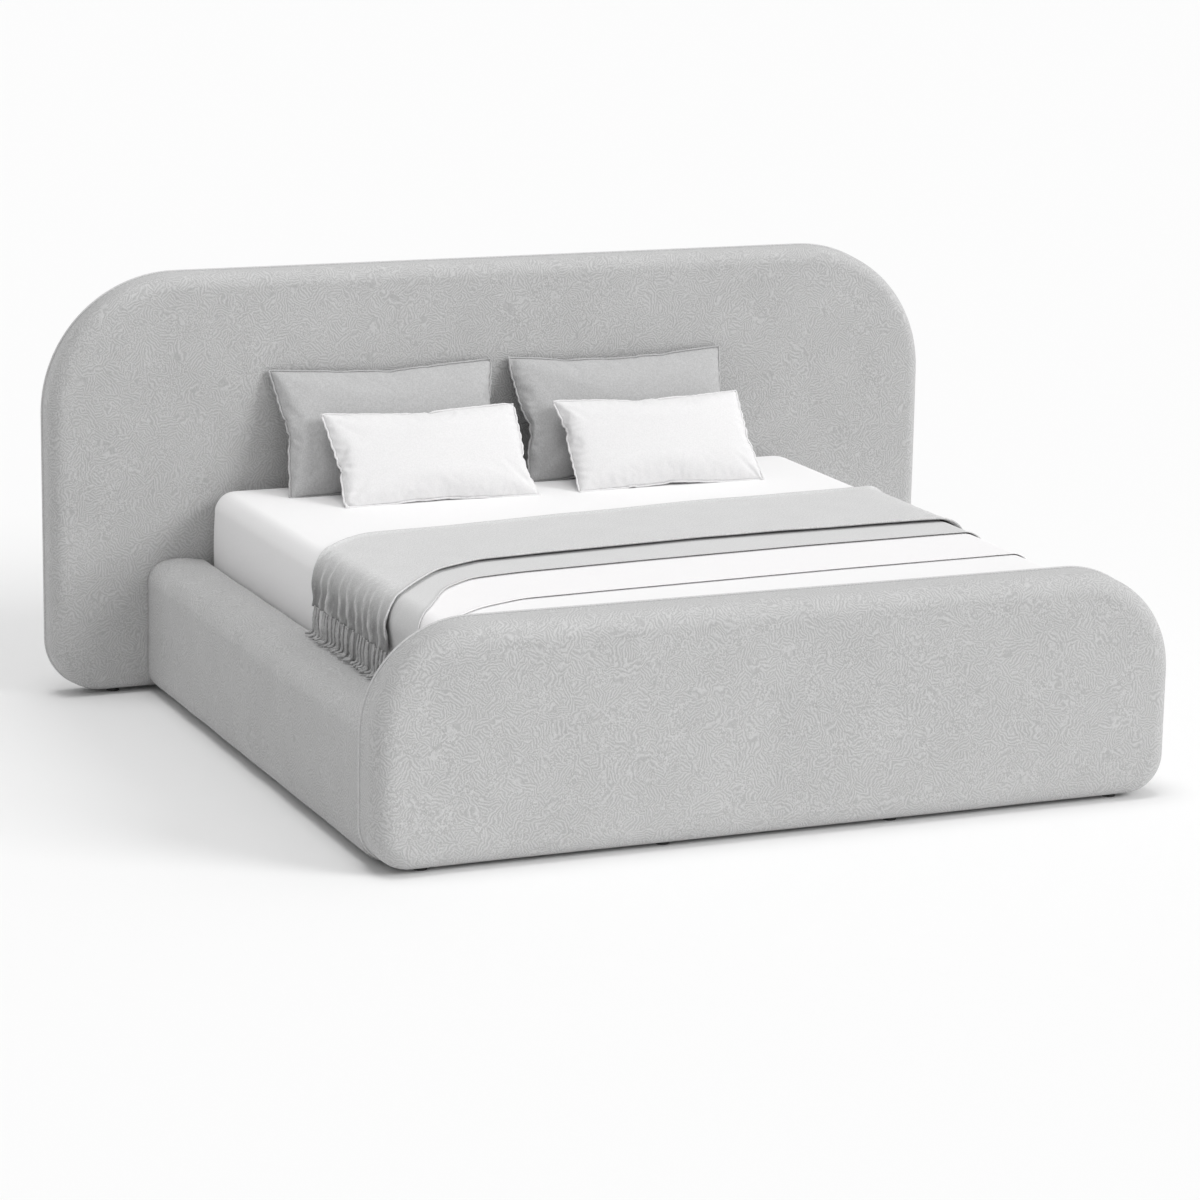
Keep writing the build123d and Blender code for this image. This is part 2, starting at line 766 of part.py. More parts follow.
with BuildPart() as box_grid:
    grid_half_width = board_room / 2
    grid_half_length = board_run / 2
    lower_wire = grid_top - 2 * grid_wire + grid_wire / 2
    upper_wire = lower_wire + grid_wire - grid_weld
    # cross wires run over the modules' top bars, long wires are welded down onto the cross wires
    with BuildSketch(Plane.YZ.offset(box.centre_x - grid_half_width)):
        with Locations((box.centre_y, lower_wire)):
            with GridLocations(slat_pitch, 0, box_slat_count, 1):
                Rectangle(grid_wire, grid_wire)
    extrude(amount=2 * grid_half_width)
    with BuildSketch(Plane.XZ.offset(-box.centre_y - grid_half_length)):
        with Locations((box.centre_x, upper_wire)):
            with GridLocations(module_pitch, 0, box_module_count, 1):
                Rectangle(grid_wire, grid_wire)
    extrude(amount=2 * grid_half_length)

box_pieces = {
    "cover": box_cover,
    "dust_cloth": box_dust_cloth,
    "padding": box_pad,
    "frame": box_frame,
    "springs": box_springs,
    "wire_grid": box_grid,
}
for name, right in box_pieces.items():
    export_piece(right, f"box_{name}_right")
    with BuildPart() as left:
        mirror(right.part, about=Plane.YZ)
    export_piece(left, f"box_{name}_left")

mattress = Block(
    0,
    inner_middle,
    mattress_width,
    mattress_length,
    mattress_bottom,
    mattress_height,
    mattress_corner_radius,
    mattress_edge_rounding,
    mattress_base_bevel,
)
ticking_inset = sheet_thickness + cloth_gap
core_start = ticking_inset + ticking_thickness + cloth_gap
spring_bottom = mattress.bottom + core_start + mattress_base_foam
spring_top = spring_bottom + mattress_spring_height

with BuildPart() as fitted_sheet:
    add(block_solid(mattress, 0, "round"))
    add(block_solid(mattress, sheet_thickness, "flats"), mode=Mode.SUBTRACT)
    add(
        block_layer(mattress, sheet_hem, mattress.bottom - overrun, spring_bottom),
        mode=Mode.SUBTRACT,
    )
export_piece(fitted_sheet, "fitted_sheet")

with BuildPart() as mattress_ticking:
    add(block_solid(mattress, ticking_inset, "flats"))
    add(block_solid(mattress, ticking_inset + ticking_thickness, "flats"), mode=Mode.SUBTRACT)
export_piece(mattress_ticking, "mattress_ticking")

with BuildPart() as mattress_base:
    add(block_solid(mattress, core_start, "flats"))
    split(bisect_by=Plane.XY.offset(spring_bottom), keep=Keep.BOTTOM)
export_piece(mattress_base, "mattress_base_foam")

with BuildPart() as mattress_border_foam:
    add(block_layer(mattress, core_start, spring_bottom, spring_top))
    add(
        block_layer(mattress, mattress_border, spring_bottom - overrun, spring_top + overrun),
        mode=Mode.SUBTRACT,
    )
export_piece(mattress_border_foam, "mattress_border_foam")

with BuildPart() as pocket_springs:
    add(block_layer(mattress, mattress_border + core_gap, spring_bottom, spring_top))
export_piece(pocket_springs, "mattress_pocket_springs")

with BuildPart() as comfort_foam:
    add(block_solid(mattress, core_start, "flats"))
    split(bisect_by=Plane.XY.offset(spring_top), keep=Keep.TOP)
export_piece(comfort_foam, "mattress_comfort_foam")


# Bedding: cloths laid across the mattress, one over the other
@dataclass(frozen=True)
class Edge:
    """A cloth's edge in plan, as distances from the headboard: straight on the right, then a bend."""

    right: float
    turn: float
    turn_x: float
    left: float


throw_back = Edge(650, 680, 380, 1050)
throw_front = Edge(1160, 1176, 160, 1620)
blanket_back = Edge(740, 770, 380, 1150)
blanket_front = Edge(1350, 1412, -200, 1850)
coverlet_back = Edge(780, 810, 380, 1200)
coverlet_front = Edge(1640, 1735, -650, 1950)

coverlet_level = cloth_gap
blanket_level = coverlet_level + coverlet_thickness + cloth_gap
throw_level = blanket_level + blanket_thickness + cloth_gap
tuck_height = rail_inner_top - cloth_tuck
reach = mattress_width / 2 + throw_level + throw_thickness + overrun


def cloth_plan(back, front):
    """Plan of a cloth between its back and front edges, wider than the bed on both sides."""
    with BuildSketch() as plan:
        with BuildLine():
            back_run = Line((reach, head_face - back.right), (back.turn_x, head_face - back.turn))
            back_bend = TangentArc(back_run @ 1, (-reach, head_face - back.left), tangent=back_run % 1)
            front_run = Line((reach, head_face - front.right), (front.turn_x, head_face - front.turn))
            front_bend = TangentArc(front_run @ 1, (-reach, head_face - front.left), tangent=front_run % 1)
            Line(back_run @ 0, front_run @ 0)
            Line(back_bend @ 1, front_bend @ 1)
        make_face()
    return plan.sketch


def bed_arch(level, hem):
    """Cross-section of the made bed, grown by the level, from a hem's height to the top."""
    top = bed_top + level
    with BuildSketch() as arch:
        with Locations((0, (hem + top) / 2)):
            Rectangle(mattress_width + 2 * level, top - hem)
        fillet(arch.vertices().group_by(Axis.Y)[-1], mattress_edge_rounding + level)
    return arch.sketch


def draped_band(level, thickness, hem, back, front):
    """A cloth over the mattress: it follows the rounded edges and hangs straight to its hem."""
    with BuildPart() as band:
        with BuildSketch(Plane.XZ.offset(-head_face)):
            add(bed_arch(level + thickness, hem))
            add(bed_arch(level, hem), mode=Mode.SUBTRACT)
        extrude(amount=inner_length)
        with BuildSketch(Plane.XY.offset(hem)):
            add(cloth_plan(back, front))
        extrude(amount=bed_top + overrun - hem, mode=Mode.INTERSECT)
    return band.part


with BuildPart() as coverlet:
    add(draped_band(coverlet_level, coverlet_thickness, tuck_height, coverlet_back, coverlet_front))
export_piece(coverlet, "white_coverlet")

with BuildPart() as blanket:
    add(draped_band(blanket_level, blanket_thickness, tuck_height, blanket_back, blanket_front))
export_piece(blanket, "grey_blanket")

# The throw's sides hang in soft upright folds that deepen towards the hem
throw_inner = mattress_width / 2 + throw_level
fold_top = bed_top - mattress_edge_rounding - fold_start_drop
throw_sides = {
    -1: (head_face - throw_back.left, head_face - throw_front.left),
    1: (head_face - throw_back.right, head_face - throw_front.right),
}


def folded_section(side, start, end, depth):
    """Plan section of a hanging side: arcs that bulge out and in by turns, one cloth thick."""
    step = (end - start) / (2 * throw_fold_count)
    with BuildSketch() as section:
        with BuildLine():
            chains = []
            for x in (throw_inner + depth, throw_inner + depth + throw_thickness):
                arcs = []
                for fold in range(2 * throw_fold_count):
                    bulge = depth if fold % 2 else -depth
                    y = start + fold * step
                    middle = (side * (x + bulge), y + step / 2)
                    arcs.append(ThreePointArc((side * x, y), middle, (side * x, y + step)))
                chains.append(arcs)
            Line(chains[0][0] @ 0, chains[1][0] @ 0)
            Line(chains[0][-1] @ 1, chains[1][-1] @ 1)
        make_face()
    return section.sketch


def hanging_side(side, start, end):
    """One hanging side of the throw, from where its folds start down to the hem."""
    with BuildPart() as cloth:
        with BuildSketch(Plane.XY.offset(fold_top)):
            add(folded_section(side, start, end, fold_start_depth))
        with BuildSketch(Plane.XY.offset(throw_hem)):
            add(folded_section(side, start, end, throw_fold_depth))
        loft(ruled=True)
    return cloth.part


with BuildPart() as throw:
    add(draped_band(throw_level, throw_thickness, fold_top, throw_back, throw_front))
    for side, (start, end) in throw_sides.items():
        add(hanging_side(side, start, end))
export_piece(throw, "fringed_throw")

tassel_end = rail_inner_top + fringe_end_room
tassel_top = throw_hem - fringe_header
tassel_height = tassel_top - tassel_end
tassel_flare = degrees(atan2(tassel_top_radius - tassel_end_radius, tassel_height))
with BuildPart() as tassel:
    with BuildSketch(Plane.XY.offset(tassel_height)):
        RegularPolygon(tassel_top_radius, tassel_sides, major_radius=False)
    extrude(amount=-tassel_height, taper=tassel_flare)
fringe_x = throw_inner + throw_fold_depth + throw_thickness / 2
for name, side in (("left", -1), ("right", 1)):
    start, end = throw_sides[side]
    run = start - end
    tassel_count = int(run / tassel_pitch)
    with BuildPart() as fringe:
        with Locations((side * fringe_x, (start + end) / 2, throw_hem - fringe_header / 2)):
            Box(throw_thickness, run, fringe_header)
        with Locations((side * fringe_x, (start + end) / 2, tassel_end)):
            with GridLocations(0, tassel_pitch, 1, tassel_count):
                add(tassel.part)
    export_piece(fringe, f"throw_fringe_{name}")


# Pillows: each leans back on what is behind it and stands on the mattress
@dataclass(frozen=True)
class Pillow:
    """A knife-edge pillow: width and height from corner to corner, its full thickness and its lean."""

    width: float
    height: float
    thickness: float
    lean: float

    def steps(self, inset):
        """How far each step from the seam to the crown is drawn in and risen, under a skin of the inset."""
        seam = pillow_seam / 2 - inset
        half_height = self.height / 2 - inset
        crown = self.thickness / 2 - inset - seam
        return [(draw * half_height, seam + rise * crown) for draw, rise in pillow_step_shares]

    def reach(self, angle):
        """How far the pillow goes from its middle, measured at this angle to the line through its face."""
        half_height = self.height / 2
        return max((half_height - draw) * sin(angle) + rise * cos(angle) for draw, rise in self.steps(0))


def pillow_plan(pillow, inset):
    """A pillow's outline from seam to seam, each side drawn in at its middle."""
    half_width = pillow.width / 2 - inset
    half_height = pillow.height / 2 - inset
    with BuildSketch() as plan:
        with BuildLine() as outline:
            Polyline((half_width - pillow_dip, 0), (half_width, half_height), (0, half_height - pillow_dip))
            mirror(outline.line, about=Plane.YZ)
            mirror(outline.line, about=Plane.XZ)
        make_face()
    return plan.sketch


def pillow_solid(pillow, inset):
    """Pillow lying in XY: from its seam to its crown each step draws in and rises, on both faces."""
    plan = pillow_plan(pillow, inset)
    steps = pillow.steps(inset)
    with BuildPart() as half:
        with BuildSketch():
            add(plan)
        extrude(amount=pillow_seam / 2 - inset)
        for (draw, rise), (next_draw, next_rise) in zip(steps, steps[1:]):
            with BuildSketch(Plane.XY.offset(rise)):
                add(plan)
                if draw:
                    offset(amount=-draw, kind=Kind.INTERSECTION, mode=Mode.REPLACE)
            slant = degrees(atan2(next_draw - draw, next_rise - rise))
            extrude(amount=next_rise - rise, taper=slant)
    with BuildPart() as solid:
        add(half.part)
        mirror(half.part, about=Plane.XY)
    return solid.part


def pillow_plane(pillow, x, y):
    """Plane of a leaning pillow: its lower edge stands just clear of the mattress."""
    lean = radians(pillow.lean)
    rise = pillow.reach(pi / 2 - lean)
    return Plane(
        origin=(x, y, bed_top + lift_gap + rise), x_dir=(1, 0, 0), z_dir=(0, -cos(lean), sin(lean))
    )


grey = Pillow(grey_pillow_width, grey_pillow_height, grey_pillow_thickness, grey_pillow_lean)
white = Pillow(white_pillow_width, white_pillow_height, white_pillow_thickness, white_pillow_lean)

# The grey pillows' backs touch the headboard
grey_y = head_face - lift_gap - grey.reach(radians(grey.lean))
height_between = pillow_plane(white, 0, 0).origin.Z - pillow_plane(grey, 0, 0).origin.Z


def run_between(angle):
    """Run from a grey pillow's middle to a white one's that leaves a plane at this lean free between."""
    grey_reach = grey.reach(angle - radians(grey.lean))
    white_reach = white.reach(radians(white.lean) - angle)
    return (grey_reach + white_reach + lift_gap - height_between * sin(angle)) / cos(angle)


# A white pillow comes as near to the grey ones as the best of the planes between them lets it
lean_step = radians(white.lean - grey.lean) / plane_count
plane_leans = [radians(grey.lean) + step * lean_step for step in range(plane_count + 1)]
white_y = grey_y - min(run_between(angle) for angle in plane_leans)

pillow_groups = (
    ("grey_pillow", grey, grey_y, grey_pillow_centres),
    ("white_pillow", white, white_y, white_pillow_centres),
)
for name, pillow, y, centres in pillow_groups:
    whole = pillow_solid(pillow, 0)
    hollow = pillow_solid(pillow, pillow_cover_thickness)
    filling = pillow_solid(pillow, pillow_cover_thickness + cloth_gap)
    for side, x in centres.items():
        place = pillow_plane(pillow, x, y)
        with BuildPart() as cover:
            with Locations(place):
                add(whole)
                add(hollow, mode=Mode.SUBTRACT)
        export_piece(cover, f"{name}_{side}_cover")
        with BuildPart() as insert:
            with Locations(place):
                add(filling)
        export_piece(insert, f"{name}_{side}_filling")
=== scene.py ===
"""Dresses the box spring bed: upholstery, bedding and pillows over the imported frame.

Everything is in the frame's own axes, in metres: +Z up, the headboard towards +Y, left and right
as seen from the foot. Each soft piece is a surface worked out with numpy, in its own place.
"""

import json
import logging
import math
from dataclasses import dataclass, field
from enum import Enum

import bpy
import numpy as np
from mathutils import Matrix, Vector
from numpy.typing import NDArray

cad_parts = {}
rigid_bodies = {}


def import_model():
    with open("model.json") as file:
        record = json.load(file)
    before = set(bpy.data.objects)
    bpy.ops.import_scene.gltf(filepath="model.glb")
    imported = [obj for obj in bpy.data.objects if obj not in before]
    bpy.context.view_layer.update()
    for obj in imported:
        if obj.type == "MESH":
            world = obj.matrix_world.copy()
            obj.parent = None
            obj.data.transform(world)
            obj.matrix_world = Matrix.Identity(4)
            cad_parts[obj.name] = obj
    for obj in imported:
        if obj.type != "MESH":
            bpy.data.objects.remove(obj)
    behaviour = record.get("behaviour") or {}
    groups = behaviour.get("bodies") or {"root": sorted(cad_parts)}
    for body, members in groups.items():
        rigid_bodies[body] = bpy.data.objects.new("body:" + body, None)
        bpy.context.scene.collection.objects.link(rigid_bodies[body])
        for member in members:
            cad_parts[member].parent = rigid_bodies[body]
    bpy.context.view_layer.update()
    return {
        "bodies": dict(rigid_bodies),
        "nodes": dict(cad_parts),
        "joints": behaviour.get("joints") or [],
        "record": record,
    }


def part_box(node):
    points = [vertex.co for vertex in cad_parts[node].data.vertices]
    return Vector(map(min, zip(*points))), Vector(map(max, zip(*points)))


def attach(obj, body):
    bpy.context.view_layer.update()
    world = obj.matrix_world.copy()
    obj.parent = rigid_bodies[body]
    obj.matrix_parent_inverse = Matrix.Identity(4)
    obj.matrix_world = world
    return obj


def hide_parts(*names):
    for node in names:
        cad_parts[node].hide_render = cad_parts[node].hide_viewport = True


LOG = logging.getLogger("bed")
SIDES = ("left", "right")
Floats = NDArray[np.float64]
Ints = NDArray[np.int64]
Faces = list[list[int]]
Colour = tuple[float, float, float]
Knots = tuple[tuple[float, float], ...]
Material = bpy.types.Material
Node = bpy.types.Node
NodeTree = bpy.types.NodeTree
Piece = bpy.types.Object
Socket = bpy.types.NodeSocket


class Weave(Enum):
    """The kinds of cloth surface on the bed."""

    CHENILLE = "chenille_pile"
    PLAIN = "plain_weave"
    BRUSHED = "brushed_weave"
    SMOOTH = "fine_cotton"


# Mesh helpers


def link_mesh(name: str, vertices: Floats, faces: Faces, smooth: bool = True) -> Piece:
    """Puts a mesh in the scene, at the origin, with its place in its vertices.

    Args:
        name: Name of the piece.
        vertices: Places as an (n, 3) array.
        faces: Corner indices of every face.
        smooth: Whether the faces are shaded smooth.

    Returns:
        The new object.
    """
    mesh = bpy.data.meshes.new(name)
    mesh.from_pydata(vertices.tolist(), [], faces)
    mesh.polygons.foreach_set("use_smooth", np.full(len(mesh.polygons), smooth))
    mesh.update()
    piece = bpy.data.objects.new(name, mesh)
    bpy.context.scene.collection.objects.link(piece)
    return piece


def grid_faces(rows: int, columns: int, wrap: bool = False) -> Ints:
    """Quads of a grid of vertices stored row by row.

    Args:
        rows: Number of rows.
        columns: Number of vertices in a row.
        wrap: Whether the last column joins the first.

    Returns:
        Corner indices as an (n, 4) array.
    """
    last = columns if wrap else columns - 1
    row, column = np.meshgrid(np.arange(rows - 1), np.arange(last), indexing="ij")
    following = (column + 1) % columns
    low, high = row * columns, (row + 1) * columns
    quads = np.stack([low + column, low + following, high + following, high + column], axis=-1)
    return quads.reshape(-1, 4)


def closed_rings(rings: Floats, base: bool = True) -> tuple[Floats, Faces]:
    """Joins closed rings into a skin and closes its ends with a fan to the ring's middle.

    Args:
        rings: Places as a (rings, points, 3) array.
        base: Whether the first ring is closed as well as the last.

    Returns:
        The vertices, and the faces as lists of indices.
    """
    count, around, _ = rings.shape
    poles = np.stack([rings[-1].mean(axis=0), rings[0].mean(axis=0)][: 1 + base])
    index = np.arange(around)
    following = (index + 1) % around
    last, first = count * around, count * around + 1
    offset = (count - 1) * around
    faces = grid_faces(count, around, wrap=True).tolist()
    faces += np.stack([offset + index, offset + following, np.full(around, last)], axis=-1).tolist()
    if base:
        faces += np.stack([following, index, np.full(around, first)], axis=-1).tolist()
    return np.vstack([rings.reshape(-1, 3), poles]), faces


def closed_tube(path: Floats, out: Floats, level: Floats, radius: float, sides: int) -> tuple[Floats, Faces]:
    """Tube round a closed path: at each point, a circle in the plane of its two directions.

    Args:
        path: Middle of the tube as an (n, 3) array.
        out: First direction of the circle, at each point.
        level: Second direction of the circle, at each point.
        radius: Radius of the tube.
        sides: Number of points in a circle.

    Returns:
        The vertices, and the faces as lists of indices.
    """
    turn = np.linspace(0, 2 * np.pi, sides, endpoint=False)[None, :, None]
    tube = path[:, None] + radius * (np.cos(turn) * out[:, None] + np.sin(turn) * level[:, None])
    faces = grid_faces(len(path) + 1, sides, wrap=True) % (len(path) * sides)
    return tube.reshape(-1, 3), faces.tolist()


def give_uv(piece: Piece, first: Floats, second: Floats) -> None:
    """Writes the two coordinates of each vertex as its UV pair, so that a weave follows the cloth."""
    layer = piece.data.uv_layers.new(name="cloth")
    corners = np.empty(len(piece.data.loops), dtype=np.int64)
    piece.data.loops.foreach_get("vertex_index", corners)
    uv = np.stack([first, second], axis=-1).reshape(-1, 2)
    layer.data.foreach_set("uv", uv[corners].astype(np.float32).ravel())


def give_painted_shade(piece: Piece, values: Floats) -> None:
    """Writes the painted shade of each vertex of a hanging cloth: how far its material darkens it."""
    painted_shade = piece.data.attributes.new("painted_shade", "FLOAT", "POINT")
    painted_shade.data.foreach_set("value", values.astype(np.float32).ravel())


def thicken(piece: Piece, thickness: float) -> None:
    """Gives a cloth its thickness, inwards from its outer face."""
    modifier = piece.modifiers.new("thickness", "SOLIDIFY")
    modifier.thickness = thickness
    modifier.offset = -1


def unit(vectors: Floats) -> Floats:
    """The vectors, each scaled to a length of one."""
    return vectors / np.linalg.norm(vectors, axis=-1, keepdims=True)


def closed_ahead(path: Floats) -> Floats:
    """The direction of a closed path at each of its points, from the neighbours on both sides."""
    return unit(np.roll(path, -1, axis=0) - np.roll(path, 1, axis=0))


def quarter_turn(radius: float, angle: Floats) -> tuple[Floats, Floats]:
    """Radius times one minus the sine, and one minus the cosine, of the angle: how far an edge draws in."""
    return radius * (1 - np.sin(angle)), radius * (1 - np.cos(angle))


def rectangle(low: tuple[float, float], high: tuple[float, float]) -> Floats:
    """The corners of a rectangle, counter-clockwise from its low one."""
    return np.array([low, (high[0], low[1]), high, (low[0], high[1])])


def rounded_outline(corners: Floats, radii: Floats, count: int) -> tuple[Floats, Floats]:
    """Polygon with each corner replaced by an arc that touches both of its sides.

    The arc's centre lies on the corner's bisector, at the radius over the sine of half the corner.

    Args:
        corners: Corners in counter-clockwise order as an (n, 2) array.
        radii: Radius at each corner.
        count: Number of points, spread evenly along the outline.

    Returns:
        The points and their outward normals, both as (count, 2) arrays.
    """
    back = unit(np.roll(corners, 1, axis=0) - corners)
    ahead = unit(np.roll(corners, -1, axis=0) - corners)
    half = np.arccos(np.clip((back * ahead).sum(axis=1), -1, 1)) / 2
    centre = corners + unit(back + ahead) * (radii / np.sin(half))[:, None]
    touch = corners + back * (radii / np.tan(half))[:, None]
    arc_points = 33
    angle = (np.pi - 2 * half)[:, None] * np.linspace(0, 1, arc_points)[None]
    arm = touch - centre
    cos, sin = np.cos(angle), np.sin(angle)
    x = centre[:, None, 0] + arm[:, None, 0] * cos - arm[:, None, 1] * sin
    y = centre[:, None, 1] + arm[:, None, 0] * sin + arm[:, None, 1] * cos
    path = np.stack([x, y], axis=-1).reshape(-1, 2)
    path = np.vstack([path, path[:1]])
    length = np.concatenate([[0], np.cumsum(np.linalg.norm(np.diff(path, axis=0), axis=1))])
    place = np.linspace(0, length[-1], count, endpoint=False)
    points = np.stack([np.interp(place, length, path[:, axis]) for axis in (0, 1)], axis=-1)
    along = closed_ahead(points)
    return points, np.stack([along[:, 1], -along[:, 0]], axis=-1)


def joined_profile(parts: list[tuple[object, object, object]]) -> tuple[Floats, Floats, Floats]:
    """Inset, place and scale of a profile's rings, from its parts, where one value may hold for a part."""
    inset, place, scale = np.concatenate([np.stack(np.broadcast_arrays(*part)) for part in parts], axis=1)
    return inset, place, scale


def inset_rings(outline: tuple[Floats, Floats], middle: Floats, inset: Floats, scale: Floats) -> Floats:
    """Copies of an outline, each drawn in along its normals and then scaled about the middle."""
    points, normals = outline
    return middle + scale[:, None, None] * (points[None] - inset[..., None] * normals[None] - middle)


def gentle_noise(places: Floats, size: float, seed: int, waves: int = 12) -> Floats:
    """Smooth noise from -1 to 1: a sum of sine waves in random directions, each about one size long.

    Args:
        places: Places as an (..., 3) array.
        size: Length of a typical wave, in metres.
        seed: Seed of the random directions.
        waves: Number of waves that are added up.

    Returns:
        One value per place.
    """
    random = np.random.default_rng(seed)
    direction = unit(random.normal(size=(waves, 3)))
    pitch = 2 * np.pi / (size * random.uniform(0.7, 1.4, waves))
    phase = random.uniform(0, 2 * np.pi, waves)
    total = np.sin(places @ (direction * pitch[:, None]).T + phase).sum(axis=-1)
    return total / np.sqrt(waves * 2)


def flat_noise(first: Floats, second: Floats, size: float, seed: int, waves: int = 12) -> Floats:
    """The gentle noise over two coordinates of a cloth."""
    return gentle_noise(np.stack([first, second, np.zeros_like(second)], axis=-1), size, seed, waves)


def ease(value: Floats) -> Floats:
    """Smooth step: 0 below 0, 1 above 1, with level ends."""
    share = np.clip(value, 0, 1)
    return share * share * (3 - 2 * share)


def bell(distance: Floats, reach: float) -> Floats:
    """Bell curve: 1 at no distance, fading as the exponential of minus its square over the reach."""
    return np.exp(-((distance / reach) ** 2))


def soft_curve(places: Floats, knots: Knots) -> Floats:
    """Curve near a few knots: straight runs between them, averaged with a bell weight.

    Args:
        places: Where the curve is wanted.
        knots: (place, value) pairs in rising order of place.

    Returns:
        The curve's value at each place.
    """
    reach, samples = 0.05, 41
    at, value = np.array(knots).T
    shift = np.linspace(-2, 2, samples) * reach
    weight = np.exp(-2 * (shift / reach) ** 2)
    return (np.interp(places[..., None] + shift, at, value) * weight).sum(axis=-1) / weight.sum()


# Finishes


@dataclass
class Wiring:
    """Adds and joins shader nodes in one tree."""

    tree: NodeTree

    def node(self, kind: str, **settings: object) -> Node:
        """Adds a node and sets its properties."""
        made = self.tree.nodes.new(kind)
        for key, value in settings.items():
            setattr(made, key, value)
        return made

    def put(self, value: object, target: Socket) -> None:
        """Links an output to a socket, or sets the socket to a plain value."""
        if isinstance(value, Socket):
            self.tree.links.new(value, target)
        else:
            target.default_value = value

    def fill(self, made: Node, **values: object) -> Node:
        """Puts a value or an output on each named input of a node, with _ for the spaces in a name."""
        for label, value in values.items():
            self.put(value, made.inputs[label.replace("_", " ")])
        return made

    def math(self, operation: str, *values: object) -> Socket:
        """The output of a Math node of up to three values or outputs."""
        made = self.node("ShaderNodeMath", operation=operation)
        for value, target in zip(values, made.inputs):
            self.put(value, target)
        return made.outputs[0]

    def times(self, first: object, second: object) -> Socket:
        """The product of two values or outputs."""
        return self.math("MULTIPLY", first, second)

    def vector(self, operation: str, *values: object) -> Socket:
        """The output of a Vector Math node of up to three vectors."""
        made = self.node("ShaderNodeVectorMath", operation=operation)
        for value, target in zip(values, made.inputs):
            self.put(value, target)
        return made.outputs["Value" if operation == "DOT_PRODUCT" else "Vector"]

    def stretch(self, vector: Socket, scale: tuple[float, float, float]) -> Socket:
        """The vector scaled by a factor on each axis."""
        return self.fill(self.node("ShaderNodeMapping"), Vector=vector, Scale=scale).outputs[0]

    def noise(self, vector: Socket, scale: object, detail: float, output: str = "Fac") -> Socket:
        """An output of a Noise Texture."""
        made = self.node("ShaderNodeTexNoise")
        return self.fill(made, Vector=vector, Scale=scale, Detail=detail).outputs[output]

    def spread(self, value: Socket, low: float, high: float) -> Socket:
        """The value's part from low to high, stretched to run from 0 to 1."""
        made = self.node("ShaderNodeMapRange", interpolation_type="SMOOTHSTEP")
        return self.fill(made, Value=value, From_Min=low, From_Max=high).outputs[0]

    def mix(self, factor: Socket, first: object, second: object, **settings: object) -> Socket:
        """A Mix node's result: the first value where the factor is 0 and the second where it is 1."""
        made = self.node("ShaderNodeMix", **settings)
        return self.fill(made, Factor=factor, A=first, B=second).outputs["Result"]

    def two_tones(self, colour: Colour, share: float, factor: Socket) -> Socket:
        """The colour, darker by a share of itself where the factor is 0 and lighter where it is 1."""
        dark, light = ((*(np.array(colour) * level), 1) for level in (1 - share, 1 + share))
        return self.mix(factor, dark, light, data_type="RGBA")


def start_pattern(weave: Weave) -> tuple[Wiring, Socket, Socket]:
    """Makes the empty shader node group of a weave: Vector and Scale in, Shade and Height out.

    Args:
        weave: The cloth that the group is named after.

    Returns:
        The group's wiring, and its Vector and Scale.
    """
    group = bpy.data.node_groups.new(weave.value, "ShaderNodeTree")
    for label, kind in (("Vector", "NodeSocketVector"), ("Scale", "NodeSocketFloat")):
        group.interface.new_socket(label, in_out="INPUT", socket_type=kind)
    for label in ("Shade", "Height"):
        group.interface.new_socket(label, in_out="OUTPUT", socket_type="NodeSocketFloat")
    wires = Wiring(group)
    source = wires.node("NodeGroupInput")
    return wires, source.outputs["Vector"], source.outputs["Scale"]


def end_pattern(wires: Wiring, shade: Socket, height: Socket) -> NodeTree:
    """Joins a weave's shade and height to the group's outputs, and gives the group back."""
    wires.fill(wires.node("NodeGroupOutput"), Shade=shade, Height=height)
    return wires.tree


def chenille_group() -> NodeTree:
    """Pile ridges about 9 mm apart: small fields of stripes, with a maze of curls between them.

    The stripes are the sine of the place measured along a random direction that each Voronoi cell
    keeps. The maze is a smooth noise of the same pitch, steepened until only ridge and groove stay.
    """
    wobble, stripe_pitch, ridge_share, mottle_share = 0.016, 840.0, 0.27, 0.2
    wires, vector, scale = start_pattern(Weave.CHENILLE)
    bend = wires.noise(vector, wires.times(scale, 1.6), 1.0, "Color")
    bent = wires.vector("MULTIPLY_ADD", bend, (wobble,) * 3, vector)
    fields = wires.fill(wires.node("ShaderNodeTexVoronoi"), Vector=bent, Scale=scale)
    aim = wires.vector("NORMALIZE", wires.vector("SUBTRACT", fields.outputs["Color"], (0.5,) * 3))
    stripes = wires.math("SINE", wires.times(wires.vector("DOT_PRODUCT", aim, bent), stripe_pitch))
    maze = wires.spread(wires.noise(vector, wires.times(scale, 7.0), 0.0), 0.34, 0.66)
    curls = wires.math("MULTIPLY_ADD", maze, 2.0, -1.0)
    patch = wires.spread(wires.noise(vector, wires.times(scale, 0.8), 2.0), 0.50, 0.60)
    mixed = wires.mix(patch, stripes, curls, data_type="FLOAT")
    fibres = wires.noise(vector, wires.times(scale, 12.0), 2.0)
    ridges = wires.math("MULTIPLY_ADD", mixed, ridge_share, fibres)
    mottle = wires.noise(vector, wires.times(scale, 0.25), 3.0)
    shade = wires.math("ADD", wires.times(ridges, 1 - mottle_share), wires.times(mottle, mottle_share))
    return end_pattern(wires, shade, ridges)


